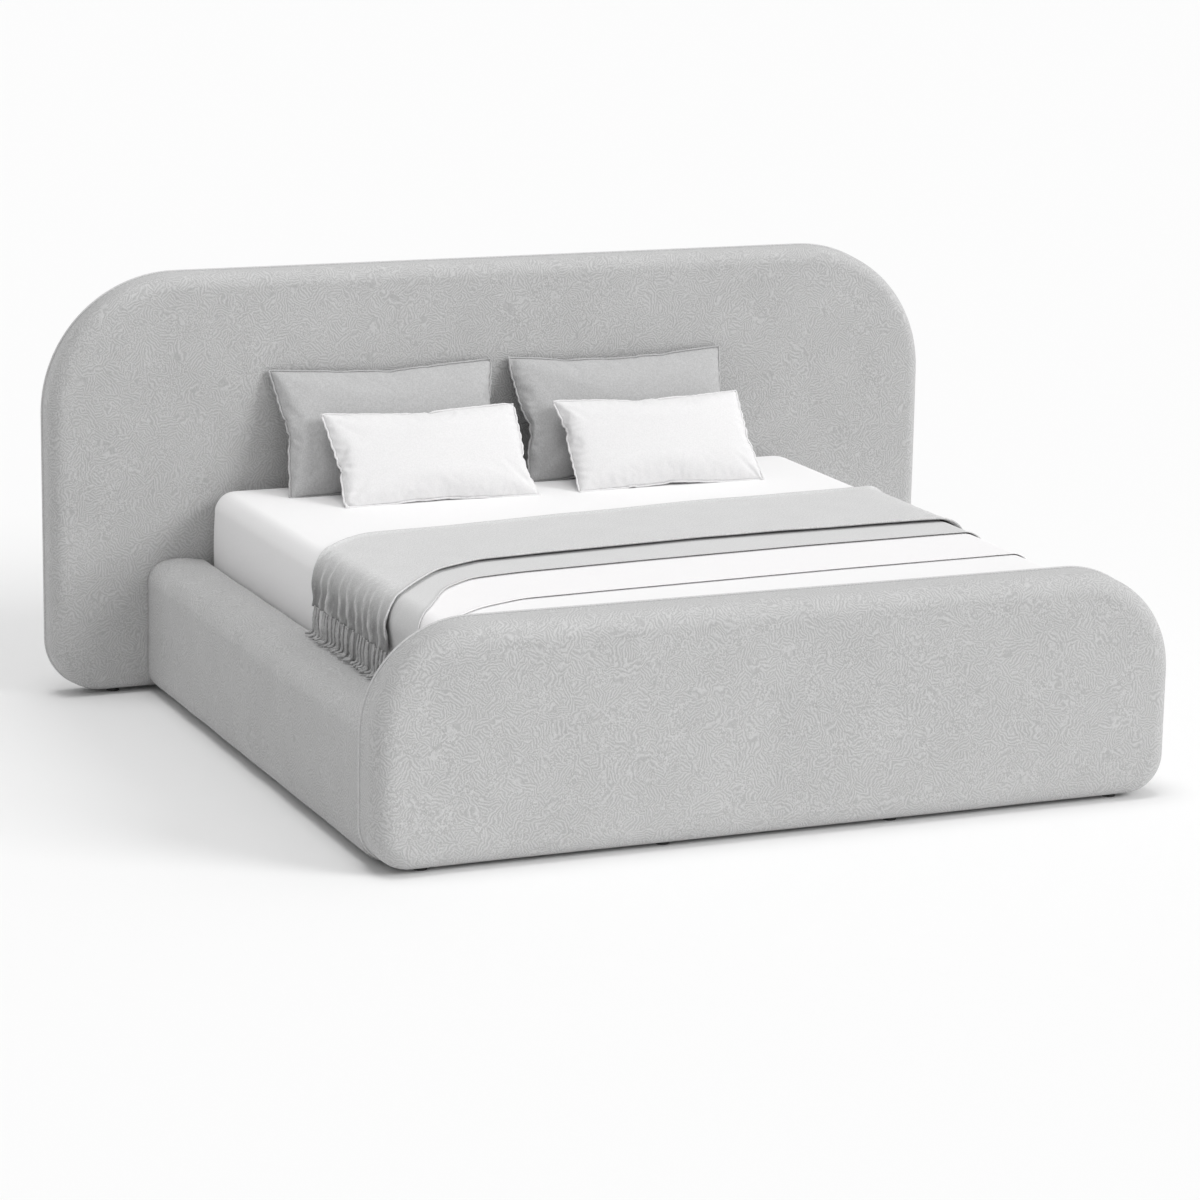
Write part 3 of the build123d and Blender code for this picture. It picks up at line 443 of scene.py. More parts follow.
def thread_group(weave: Weave, fuzz: float) -> NodeTree:
    """Crossing threads: the product of two sine waves, with thick and thin places along both ways.

    The thick places, or slubs, are two smooth noises, one drawn out along the warp and one along
    the weft.

    Args:
        weave: The cloth that the group is named after.
        fuzz: Share of slubs against threads.

    Returns:
        The group.
    """
    drawn, fine = 110.0, 620.0
    height_share, cloud_share, slub_share = 0.3, 0.3, 0.4
    wires, vector, scale = start_pattern(weave)
    parts = wires.node("ShaderNodeSeparateXYZ")
    wires.put(vector, parts.inputs[0])
    warp = wires.math("SINE", wires.times(parts.outputs["X"], scale))
    weft_place = wires.math("ADD", parts.outputs["Y"], parts.outputs["Z"])
    weft = wires.math("SINE", wires.times(weft_place, scale))
    threads = wires.math("MULTIPLY_ADD", wires.times(warp, weft), 0.5, 0.5)
    long_warp = wires.noise(wires.stretch(vector, (drawn, fine, fine)), 1.0, 1.0)
    long_weft = wires.noise(wires.stretch(vector, (fine, drawn, drawn)), 1.0, 1.0)
    slubs = wires.spread(wires.math("ADD", long_warp, long_weft), 0.80, 1.20)
    height = wires.math("ADD", wires.times(threads, 1 - fuzz), wires.times(slubs, fuzz))
    cloud = wires.times(wires.noise(vector, 9.0, 3.0), cloud_share)
    shade = wires.math("ADD", wires.times(height, height_share), cloud)
    return end_pattern(wires, wires.math("ADD", shade, wires.times(slubs, slub_share)), height)


def new_material(name: str, **constants: object) -> tuple[Material, Wiring, Node]:
    """Makes a material with constants on its shader's own sockets.

    Args:
        name: Name of the material.
        **constants: What is the same all over the surface, by socket.

    Returns:
        The material, its wiring and its shader.
    """
    material = bpy.data.materials.new(name)
    material.use_nodes = True
    wires = Wiring(material.node_tree)
    return material, wires, wires.fill(material.node_tree.nodes["Principled BSDF"], **constants)


def grey(value: float) -> Colour:
    """An even grey."""
    return (value, value, value)


@dataclass(frozen=True)
class ClothFinish:
    """A cloth: its colour, how far its pattern shades it, its weave, and the weave's scale and depth."""

    name: str
    colour: Colour
    shade: float
    weave: Weave
    scale: float
    depth: float
    sheen: float = 0.2
    by_uv: bool = False
    # How far painted shade darkens the cloth where it hangs.
    hanging_painted_shade: float = 0.0

    def material(self, groups: dict[Weave, NodeTree]) -> Material:
        """Builds the material: the weave's shade mixes two tones and its height feeds a bump.

        Where the cloth hangs, the tones darken with painted shade, read from the piece's own attribute.

        Args:
            groups: The shader node group of each weave.

        Returns:
            The material.
        """
        material, wires, shader = new_material(
            self.name, Roughness=0.9, Sheen_Weight=self.sheen, Sheen_Roughness=0.6, Specular_IOR_Level=0.2
        )
        places = wires.node("ShaderNodeTexCoord").outputs["UV" if self.by_uv else "Object"]
        weave = wires.node("ShaderNodeGroup", node_tree=groups[self.weave])
        wires.fill(weave, Vector=places, Scale=self.scale)
        tones = wires.two_tones(self.colour, self.shade, weave.outputs["Shade"])
        # Painted shade: the hanging side and its fold valleys darken by the piece's attribute.
        if self.hanging_painted_shade:
            painted_shade = wires.node("ShaderNodeAttribute", attribute_name="painted_shade").outputs["Fac"]
            darker = wires.times(painted_shade, self.hanging_painted_shade)
            tones = wires.mix(darker, tones, (0, 0, 0, 1), data_type="RGBA", blend_type="MULTIPLY")
        bump = wires.node("ShaderNodeBump")
        wires.fill(bump, Distance=self.depth, Strength=1.0, Height=weave.outputs["Height"])
        wires.fill(shader, Base_Color=tones, Normal=bump.outputs["Normal"])
        return material


@dataclass(frozen=True)
class HardFinish:
    """Timber, steel or plastic of the parts under the upholstery."""

    name: str
    colour: Colour
    roughness: float
    metallic: float = 0.0
    grain: float = 0.0

    def material(self) -> Material:
        """Builds the material, with long grain across the colour where there is any."""
        colour = (*self.colour, 1)
        material, wires, shader = new_material(
            self.name, Roughness=self.roughness, Metallic=self.metallic, Base_Color=colour
        )
        if self.grain:
            places = wires.node("ShaderNodeTexCoord").outputs["Object"]
            streaks = wires.noise(wires.stretch(places, (1.5, 22.0, 22.0)), 4.0, 5.0)
            wires.fill(shader, Base_Color=wires.two_tones(self.colour, self.grain, streaks))
        return material


THREAD_FUZZ = {Weave.PLAIN: 0.35, Weave.BRUSHED: 0.7, Weave.SMOOTH: 0.3}
CLOTHS = (
    ClothFinish("upholstery", grey(0.495), 0.30, Weave.CHENILLE, 30.0, 0.0009, sheen=0.25),
    # Painted highlight: the piping is the upholstery cloth made lighter, so the cord shows as a light line.
    ClothFinish("upholstery_piping", grey(0.60), 0.12, Weave.CHENILLE, 30.0, 0.0006, sheen=0.25),
    ClothFinish("white_sheet", (0.875, 0.87, 0.873), 0.02, Weave.SMOOTH, 2600.0, 0.0001),
    ClothFinish("white_coverlet", (0.88, 0.87, 0.875), 0.03, Weave.SMOOTH, 2200.0, 0.0002, by_uv=True),
    # The blanket and the throw carry painted shade on their hanging sides.
    ClothFinish(
        "grey_blanket", grey(0.635), 0.10, Weave.PLAIN, 1900.0, 0.0004, by_uv=True, hanging_painted_shade=0.2
    ),
    ClothFinish(
        "grey_throw", grey(0.665), 0.16, Weave.BRUSHED, 1500.0, 0.0008, by_uv=True, hanging_painted_shade=0.88
    ),
    ClothFinish("ticking", (0.78, 0.78, 0.77), 0.04, Weave.PLAIN, 900.0, 0.0005),
    ClothFinish("grey_pillowcase", (0.475, 0.475, 0.477), 0.19, Weave.PLAIN, 1300.0, 0.0006),
    ClothFinish("white_pillowcase", (0.785, 0.78, 0.784), 0.06, Weave.PLAIN, 1500.0, 0.0004),
    ClothFinish("padding", (0.78, 0.76, 0.70), 0.06, Weave.BRUSHED, 900.0, 0.0006),
    ClothFinish("dust_cloth", grey(0.04), 0.10, Weave.BRUSHED, 900.0, 0.0004),
    ClothFinish("pocket_springs", (0.76, 0.76, 0.74), 0.05, Weave.PLAIN, 900.0, 0.0004),
)
HARD_FINISHES = (
    HardFinish("plywood", (0.56, 0.40, 0.24), 0.7, grain=0.18),
    HardFinish("timber", (0.60, 0.45, 0.28), 0.65, grain=0.22),
    HardFinish("coated_steel", grey(0.03), 0.5),
    HardFinish("zinc_steel", grey(0.60), 0.35, metallic=1.0),
    HardFinish("black_plastic", grey(0.02), 0.55),
)


@dataclass
class Wardrobe:
    """All the materials of the bed, made once and handed out by slot."""

    materials: dict[str, Material] = field(default_factory=dict)

    def build(self) -> None:
        """Makes the weave groups and every material."""
        groups = {Weave.CHENILLE: chenille_group()}
        groups |= {weave: thread_group(weave, fuzz) for weave, fuzz in THREAD_FUZZ.items()}
        self.materials = {finish.name: finish.material(groups) for finish in CLOTHS}
        self.materials |= {finish.name: finish.material() for finish in HARD_FINISHES}

    def dress_nodes(self, frame: dict) -> None:
        """Gives every node of the frame the material of its slot."""
        for row in frame["record"]["subparts"]:
            mesh = frame["nodes"][row["node"]].data
            mesh.materials.clear()
            mesh.materials.append(self.materials[row["material_slot"]])

    def dress(self, piece: Piece, slot: str, body: str, *stands_for: str) -> None:
        """Gives a piece its material, sets it on its body and hides the frame's nodes that it stands for.

        Args:
            piece: The piece.
            slot: Its material slot.
            body: The body that it rides on.
            *stands_for: The frame's nodes that it stands for, if any.
        """
        piece.data.materials.clear()
        piece.data.materials.append(self.materials[slot])
        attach(piece, body)
        if stands_for:
            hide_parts(*stands_for)
        LOG.info("%s: %d faces, rides on %s", piece.name, len(piece.data.polygons), body)


# Upholstered frame


@dataclass
class UpholsteredPad:
    """Headboard or footboard: a thick padded board with a piped seam round its back."""

    name: str
    top_radius: float
    bottom_radius: float
    rounding: float
    crown: float
    sag_seed: int
    more_nodes: tuple[str, ...] = ()
    sag: float = 0.0018
    sag_length: float = 0.45
    sag_fade: float = 0.05
    back_rounding: float = 0.012
    seam_setback: float = 0.020
    seam_dip: float = 0.0025
    seam_width: float = 0.003
    groove_half: float = 0.004
    side_gap: float = 0.006
    piping_radius: float = 0.0042
    piping_proud: float = 0.0008
    around: int = 560

    def profile(self, front: float, back: float) -> tuple[Floats, Floats, Floats]:
        """Profile from the middle of the back, over the side, to the middle of the front.

        The side is level but for the seam's dip, both edges are quarter circles, and the front
        rises in a parabola towards its middle.

        Args:
            front: Y of the front face.
            back: Y of the back face.

        Returns:
            Inset, Y and scale about the middle, for each ring.
        """
        grow = np.linspace(0.04, 1, 12)
        shrink = grow[::-1][1:]
        quarter = np.linspace(0, np.pi / 2, 9)[1:]
        turn = np.linspace(0, np.pi / 2, 15)
        seam = back - self.seam_setback
        run = np.concatenate(
            [
                np.linspace(back - self.back_rounding, seam + self.side_gap, 4)[1:],
                seam + np.linspace(self.groove_half, -self.groove_half, 7),
                np.linspace(seam - self.side_gap, front + self.rounding, 10)[:-1],
            ]
        )
        back_in, back_up = quarter_turn(self.back_rounding, quarter)
        front_up, front_in = quarter_turn(self.rounding, turn)
        return joined_profile(
            [
                (self.back_rounding, back, grow),
                (back_in, back - back_up, 1.0),
                (self.seam_dip * bell(run - seam, self.seam_width), run, 1.0),
                (front_in, front + front_up, 1.0),
                (self.rounding, front - self.crown * (1 - shrink**2), shrink),
            ]
        )

    def build(self, wardrobe: Wardrobe) -> None:
        """Makes the padded skin, from the frame's own box, and its piping.

        Args:
            wardrobe: Where the finishes come from.
        """
        low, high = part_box(f"{self.name}_cover")
        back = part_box(f"{self.name}_back_cover")[1].y
        corners = rectangle((low.x, low.z), (high.x, high.z))
        radii = np.array([self.bottom_radius] * 2 + [self.top_radius] * 2)
        points, normals = rounded_outline(corners, radii, self.around)
        inset, y, scale = self.profile(low.y, back)
        flat = inset_rings((points, normals), corners.mean(axis=0), inset[:, None], scale)
        rings = np.insert(flat, 1, y[:, None], axis=-1)
        seam = back - self.seam_setback
        front_share = ease((seam - rings[..., 1]) / self.sag_fade)
        unevenness = np.clip(gentle_noise(rings, self.sag_length, self.sag_seed), -1, 1)
        rings[..., 1] += self.sag * front_share * unevenness
        skin = link_mesh(f"{self.name}_upholstery", *closed_rings(rings))
        nodes = [f"{self.name}_{part}" for part in ("cover", "back_cover", "foam")]
        wardrobe.dress(skin, "upholstery", "bed_frame", *nodes, *self.more_nodes)
        out = np.insert(normals, 1, 0, axis=-1)
        path = np.insert(points, 1, seam, axis=-1) + self.piping_proud * out
        level = np.broadcast_to([0.0, 1.0, 0.0], path.shape)
        cord = link_mesh(f"{self.name}_piping_cord", *closed_tube(path, out, level, self.piping_radius, 10))
        wardrobe.dress(cord, "upholstery_piping", "bed_frame", f"{self.name}_piping")


@dataclass
class SideRail:
    """A padded side rail with a crowned top, carried from headboard to footboard."""

    side: str
    foot_radius: float = 0.003
    inner_radius: float = 0.016
    crest_share: float = 0.46
    crest_rise: float = 0.004
    crest_radius: float = 0.16
    shoulder_radius: float = 0.070
    base_radius: float = 0.062
    inner_drop: float = 0.010
    outer_drop: float = 0.008
    swell: float = 0.0018
    swell_length: float = 0.30
    swell_fade: float = 0.03
    around: int = 200
    stations: int = 90

    def build(self, wardrobe: Wardrobe) -> None:
        """Makes the rail's skin: its rounded section swept along the rail, with a slight unevenness.

        Args:
            wardrobe: Where the finishes come from.
        """
        low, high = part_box(f"rail_cover_{self.side}")
        sign = 1 if self.side == "right" else -1
        inner, outer = (low.x, high.x) if sign > 0 else (-high.x, -low.x)
        corners = np.array(
            [
                [inner, low.z],
                [outer, low.z],
                [outer, high.z - self.outer_drop],
                [inner + self.crest_share * (outer - inner), high.z + self.crest_rise],
                [inner, high.z - self.inner_drop],
            ]
        )
        outer_radii = (self.base_radius, self.shoulder_radius, self.crest_radius)
        radii = np.array([self.foot_radius, *outer_radii, self.inner_radius])
        points, normals = rounded_outline(corners, radii, self.around)
        rings = np.empty((self.stations, self.around, 3))
        rings[..., [0, 2]] = points[None]
        rings[..., 1] = np.linspace(low.y, high.y, self.stations)[:, None]
        swell = self.swell * gentle_noise(rings, self.swell_length, 5)
        swell *= ease((rings[..., 2] - low.z) / self.swell_fade)
        rings[..., [0, 2]] += swell[..., None] * normals[None]
        rings[..., 0] *= sign
        skin = link_mesh(f"rail_upholstery_{self.side}", *closed_rings(rings if sign < 0 else rings[::-1]))
        nodes = (f"rail_cover_{self.side}", f"rail_foam_{self.side}")
        wardrobe.dress(skin, "upholstery", "bed_frame", *nodes)


# Blocks: box springs, mattress and fitted sheet


@dataclass
class SoftBlock:
    """A padded block lying flat, with rounded corners and edges and slightly full sides."""

    name: str
    body: str
    slot: str
    nodes: tuple[str, ...]
    corner: float
    top_rounding: float
    base_rounding: float
    swell: float
    spread: float = 0.0
    rise: float = 0.0
    pucker: float = 0.0
    pucker_reach: float = 0.16
    pucker_fade: float = 0.06
    pucker_count: int = 150
    hem_under: float = 0.0
    around: int = 520

    def rings(self) -> Floats:
        """Rings from the middle of the underside, up the side, to the middle of the top.

        The side swells as a half sine from base to top. Puckers fan out round each corner: a sine
        along the outline that fades away from the corner and from the top edge. Where the block
        has a hem, it starts a little way in on the underside instead.

        Returns:
            Places as a (rings, points, 3) array.
        """
        low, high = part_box(self.nodes[0])
        corners = rectangle((low.x - self.spread, low.y), (high.x + self.spread, high.y))
        points, normals = rounded_outline(corners, np.full(4, self.corner), self.around)
        middle = corners.mean(axis=0)
        grow = np.linspace(0.04, 1, 22)
        under = np.linspace(1 - self.hem_under, 1, 4) if self.hem_under else grow
        quarter = np.linspace(0, np.pi / 2, 17)
        base, top = self.base_rounding, self.top_rounding
        bottom, ceiling = low.z, high.z + self.rise
        base_in, base_up = quarter_turn(base, quarter[1:])
        top_up, top_in = quarter_turn(top, quarter)
        inset, z, scale = joined_profile(
            [
                (base, bottom, under),
                (base_in, bottom + base_up, 1.0),
                (0.0, np.linspace(bottom + base, ceiling - top, 16)[1:-1], 1.0),
                (top_in, ceiling - top_up, 1.0),
                (top, ceiling, grow[::-1][1:]),
            ]
        )
        height_share = np.clip((z - bottom - base) / (ceiling - top - bottom - base), 0, 1)
        full = self.swell * np.sin(np.pi * height_share)
        offset = inset[:, None] - full[:, None] * np.abs(normals[None, :, 0]) ** 3
        if self.pucker:
            reach = np.abs(np.abs(points - middle) - (corners[2] - middle)).sum(axis=1)
            fade = bell(z - ceiling + top * 0.6, self.pucker_fade)
            turn = 2 * np.pi * self.pucker_count * (np.arange(self.around) / self.around)
            offset += self.pucker * fade[:, None] * (bell(reach, self.pucker_reach) * np.sin(turn))[None]
        return np.insert(inset_rings((points, normals), middle, offset, scale), 2, z[:, None], axis=-1)

    def build(self, wardrobe: Wardrobe) -> Piece:
        """Makes the block's skin.

        Args:
            wardrobe: Where the finishes come from.

        Returns:
            The piece.
        """
        piece = link_mesh(self.name, *closed_rings(self.rings(), base=not self.hem_under))
        wardrobe.dress(piece, self.slot, self.body, *self.nodes)
        return piece


@dataclass
class DustCloth:
    """The thin cloth that is stapled under one box spring."""

    side: str
    sag: float = 0.003
    clearance: float = 0.0006
    columns: int = 40
    rows: int = 60

    def build(self, wardrobe: Wardrobe) -> None:
        """Makes the cloth: a plane that sags by the product of two half sines.

        Args:
            wardrobe: Where the finishes come from.
        """
        low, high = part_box(f"box_dust_cloth_{self.side}")
        shares = (np.linspace(0, 1, self.columns), np.linspace(0, 1, self.rows))
        u, v = np.meshgrid(*shares, indexing="ij")
        x = low.x + (high.x - low.x) * u
        y = low.y + (high.y - low.y) * v
        z = low.z + self.clearance - self.sag * np.sin(np.pi * u) * np.sin(np.pi * v)
        grid = np.stack([x, y, z], axis=-1).reshape(-1, 3)
        faces = grid_faces(self.columns, self.rows)[:, ::-1].tolist()
        cloth = link_mesh(f"dust_cloth_{self.side}", grid, faces)
        wardrobe.dress(cloth, "dust_cloth", "box_springs", f"box_dust_cloth_{self.side}")


# Covers laid across the mattress


@dataclass
class BedArch:
    """Cross-section of the made bed, measured along the cloth from the middle of the top."""

    half_width: float
    top: float
    radius: float
    rail_top: float
    tucked_share: float = 0.2
    tuck_reach: float = 0.05

    @property
    def shoulder(self) -> float:
        """Cloth length from the middle to where the side starts to hang straight."""
        return self.half_width - self.radius + self.radius * np.pi / 2

    def hem_at(self, height: float) -> float:
        """Cloth length from the middle down to a height on the hanging side."""
        return self.shoulder + self.top - self.radius - height

    def place(self, along: Floats, lift: Floats) -> tuple[Floats, Floats]:
        """X and Z at a length along the cloth, lifted off the bed along its normal.

        The arch is a level top, a quarter circle and a straight side, mirrored about the middle.
        Below the rail's top the cloth is tucked in, with only a share of its lift.

        Args:
            along: Signed cloth length from the middle.
            lift: Distance off the bed.

        Returns:
            X and Z.
        """
        length = np.abs(along)
        free = ease((self.hem_at(self.rail_top) - length) / self.tuck_reach)
        tuck = self.tucked_share + (1 - self.tucked_share) * free
        flat = self.half_width - self.radius
        angle = np.clip((length - flat) / self.radius, 0, np.pi / 2)
        down = np.clip(length - self.shoulder, 0, None)
        x = np.minimum(length, flat) + (self.radius + lift * tuck) * np.sin(angle)
        z = self.top - self.radius + (self.radius + lift) * np.cos(angle) - down
        return np.sign(along) * x, z


@dataclass
class Cover:
    """A cloth laid across the bed between a back and a front edge, hanging over both sides."""

    name: str
    slot: str
    node: str
    arch: BedArch
    level: float
    thickness: float
    hem: float
    back: Knots
    front: Knots
    edge_roll: float = 0.003
    roll_width: float = 0.012
    fold_depth: float = 0.0
    fold_count: float = 0.0
    crease: float = 0.0
    crease_lead: float = 0.03
    crease_reach: float = 0.10
    hang_lead: float = 0.06
    shade_lead: float = 0.10
    hang_run: float = 0.13
    columns: int = 420
    rows: int = 90

    def along(self) -> Floats:
        """Cloth lengths of the columns, from the left hem to the right one."""
        end = self.arch.hem_at(self.hem)
        return np.linspace(-end, end, self.columns)

    def fold_wave(self, along: Floats, share: Floats, y: Floats) -> Floats:
        """Height of the hanging folds, about -1 to 1: a sine along the hem with narrow crests on it.

        The folds wander, because smooth noise shifts the sine from row to row, and smaller crests
        cross them at a slant.

        Args:
            along: Cloth length from the middle.
            share: 0 at the back edge and 1 at the front edge.
            y: Place along the bed.

        Returns:
            The heights.
        """
        spacing = 0.55 * flat_noise(0.3 * along, y, 0.30, 3)
        wander = 0.20 * flat_noise(1.6 * along, y, 0.13, 7)
        turn = np.pi * (self.fold_count * share + spacing + wander)
        crest = (1 - np.abs(np.sin(turn))) ** 2.2
        more_folds, slant_turns = 1.45, 7.0
        slant = more_folds * self.fold_count * share + slant_turns * np.abs(along) + 1.5 * spacing - wander
        small = (1 - np.abs(np.sin(np.pi * slant))) ** 4
        return crest + 0.25 * np.cos(2 * turn) + 0.85 * small - 0.6

    def lift(self, along: Floats, share: Floats, y: Floats) -> Floats:
        """Distance off the bed: level, rolled edges, hanging folds and fine creases.

        Folds grow from the bend to the hem. Creases are smooth noise that is strongest over the
        rounded edge.

        Args:
            along: Cloth length from the middle.
            share: 0 at the back edge and 1 at the front edge.
            y: Place along the bed.

        Returns:
            The distances.
        """
        beyond = np.abs(along) - self.arch.shoulder
        from_edge = np.minimum(share, 1 - share) * np.abs(y[:, -1:] - y[:, :1])
        rolled = self.edge_roll * bell(from_edge, self.roll_width)
        hanging = ease((beyond + self.hang_lead) / self.hang_run)
        folds = self.fold_depth * hanging * (0.6 + 0.45 * self.fold_wave(along, share, y))
        over_edge = bell(beyond + self.crease_lead, self.crease_reach)
        fine = flat_noise(along * 0.55 - y * 0.4, y * 1.5, 0.040, 8, 24)
        broad = flat_noise(along, y, 0.22, 4)
        creases = self.crease * (over_edge * fine + 0.35 * broad)
        return self.level + rolled + folds + np.clip(creases, -self.crease, self.crease) + self.crease

    def build(self, wardrobe: Wardrobe) -> Piece:
        """Makes the cloth, with its thickness and the painted shade of its hanging side and fold valleys.

        Args:
            wardrobe: Where the finishes come from.

        Returns:
            The piece.
        """
        reach = self.along()
        back = soft_curve(reach, self.back)
        front = soft_curve(reach, self.front)
        even = np.linspace(0, 1, self.rows)
        share = ease(even) * 0.5 + even * 0.5
        y = back[:, None] + (front - back)[:, None] * share[None]
        along = np.broadcast_to(reach[:, None], y.shape)
        shares = np.broadcast_to(share[None], y.shape)
        x, z = self.arch.place(along, self.lift(along, shares, y))
        faces = grid_faces(self.columns, self.rows).tolist()
        piece = link_mesh(self.name, np.stack([x, y, z], axis=-1).reshape(-1, 3), faces)
        give_uv(piece, along, y)
        # Painted shade: darkest down the hanging side in the fold valleys, lighter on the fold crests.
        depth = ease((np.abs(along) - self.arch.shoulder + self.shade_lead) / self.hang_run)
        crest = ease((self.fold_wave(along, shares, y) + 0.4) / 1.4)
        give_painted_shade(piece, depth * (0.72 - 0.60 * crest))
        thicken(piece, self.thickness)
        wardrobe.dress(piece, self.slot, "mattress", self.node)
        return piece

    def declare(self, piece: Piece, extras: tuple[Piece, ...] = ()) -> None:
        """Works out the cloth's length along the bed's cross-section, and does nothing more with it.

        Args:
            piece: The cloth. Not used.
            extras: Pieces that go with the cloth. Not used.
        """
        reach = self.along()


@dataclass
class Fringe:
    """Twisted tassels along one hem of the throw, their ends curling out on the rail."""

    throw: Cover
    side: str
    count: int
    radius: float = 0.0048
    spare: tuple[float, float] = (0.012, 0.040)
    curl_radius: float = 0.016
    curl_turn: float = 2.1
    bow: float = 0.004
    flare: float = 0.004
    sewn_in: float = 0.004
    wander: float = 0.010
    sway: tuple[float, float] = (-0.020, 0.006)
    twists: int = 5
    lobes: int = 3
    lobe_share: float = 0.22
    # Painted shade of the tassels, through the throw's painted-shade attribute.
    shade: float = 0.28
    sides: int = 10
    rings: int = 34

    def routes(self, random: np.random.Generator) -> Floats:
        """Middle lines: down from the hem with a slight bow, then curling away from the bed.

        Args:
            random: Source of each tassel's own length, wander and sway.

        Returns:
            Places as a (tassels, rings, 3) array.
        """
        sign = 1.0 if self.side == "right" else -1.0
        throw, arch = self.throw, self.throw.arch
        hem = sign * arch.hem_at(throw.hem)
        back, front = (float(soft_curve(np.array([hem]), edge)[0]) for edge in (throw.back, throw.front))
        share = (np.arange(self.count) + 0.5) / self.count
        y0 = back + (front - back) * share
        lift = throw.lift(np.full((self.count, 1), hem), share[:, None], y0[:, None])[:, 0]
        x0, z0 = arch.place(np.full(self.count, hem), lift - throw.thickness / 2)
        drop = z0 - (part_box(f"rail_cover_{self.side}")[1].z + self.radius)
        length = drop + random.uniform(*self.spare, self.count)
        t = np.linspace(0, 1, self.rings)[None]
        run = length[:, None] * t
        straight = (drop - self.curl_radius)[:, None]
        bend = np.clip((run - straight) / self.curl_radius, 0, self.curl_turn)
        down = np.minimum(run, straight) + self.curl_radius * np.sin(np.minimum(bend, np.pi / 2))
        bow = self.bow * np.sin(np.pi * np.minimum(run / drop[:, None], 1))
        out = self.curl_radius * (1 - np.cos(bend)) + bow + self.flare * t**2
        wander = random.uniform(-self.wander, self.wander, self.count)[:, None] * np.sin(4.5 * t)
        sway = random.uniform(*self.sway, self.count)[:, None] * t**2 + wander * t
        x, y, z = x0[:, None] + sign * out, y0[:, None] + sway, z0[:, None] + self.sewn_in - down
        return np.stack([x, y, z], axis=-1)

    def build(self, wardrobe: Wardrobe) -> Piece:
        """Makes all tassels of the hem as one piece: three-lobed tubes that twist round their routes.

        Args:
            wardrobe: Where the finishes come from.

        Returns:
            The piece.
        """
        random = np.random.default_rng(31 if self.side == "right" else 30)
        centre = self.routes(random)
        ahead = unit(np.gradient(centre, axis=1))
        across = unit(np.cross(ahead, np.array([0.0, 1.0, 0.0])))
        beside = np.cross(ahead, across)
        t = np.linspace(0, 1, self.rings)[None, :, None]
        turn = np.linspace(0, 2 * np.pi, self.sides, endpoint=False)
        twist = 2 * np.pi * self.twists * t + random.uniform(0, 6, self.count)[:, None, None]
        taper = 0.62 + 0.38 * ease(t * 3) - 0.35 * ease((t - 0.86) / 0.14)
        lobe = 1 + self.lobe_share * np.cos(self.lobes * turn[None, None] + twist)
        radius = self.radius * taper * lobe
        tube = (
            centre[:, :, None]
            + (radius * np.cos(turn))[..., None] * across[:, :, None]
            + (radius * np.sin(turn))[..., None] * beside[:, :, None]
        )
        starts = np.arange(self.count)[:, None, None] * (self.rings * self.sides)
        single = grid_faces(self.rings, self.sides, wrap=True)
        rim = np.arange(self.sides)
        ends = np.stack([rim[::-1], (self.rings - 1) * self.sides + rim])
        quads = (single[None] + starts).reshape(-1, 4).tolist()
        caps = (ends[None] + starts).reshape(-1, self.sides).tolist()
        piece = link_mesh(f"throw_tassels_{self.side}", tube.reshape(-1, 3), quads + caps)
        give_uv(piece, tube[..., 1], tube[..., 2])
        # Painted shade: the tassels are darkened evenly through the attribute.
        give_painted_shade(piece, np.full(len(piece.data.vertices), self.shade))
        wardrobe.dress(piece, "grey_throw", "mattress", f"throw_fringe_{self.side}")
        return piece


# Pillows


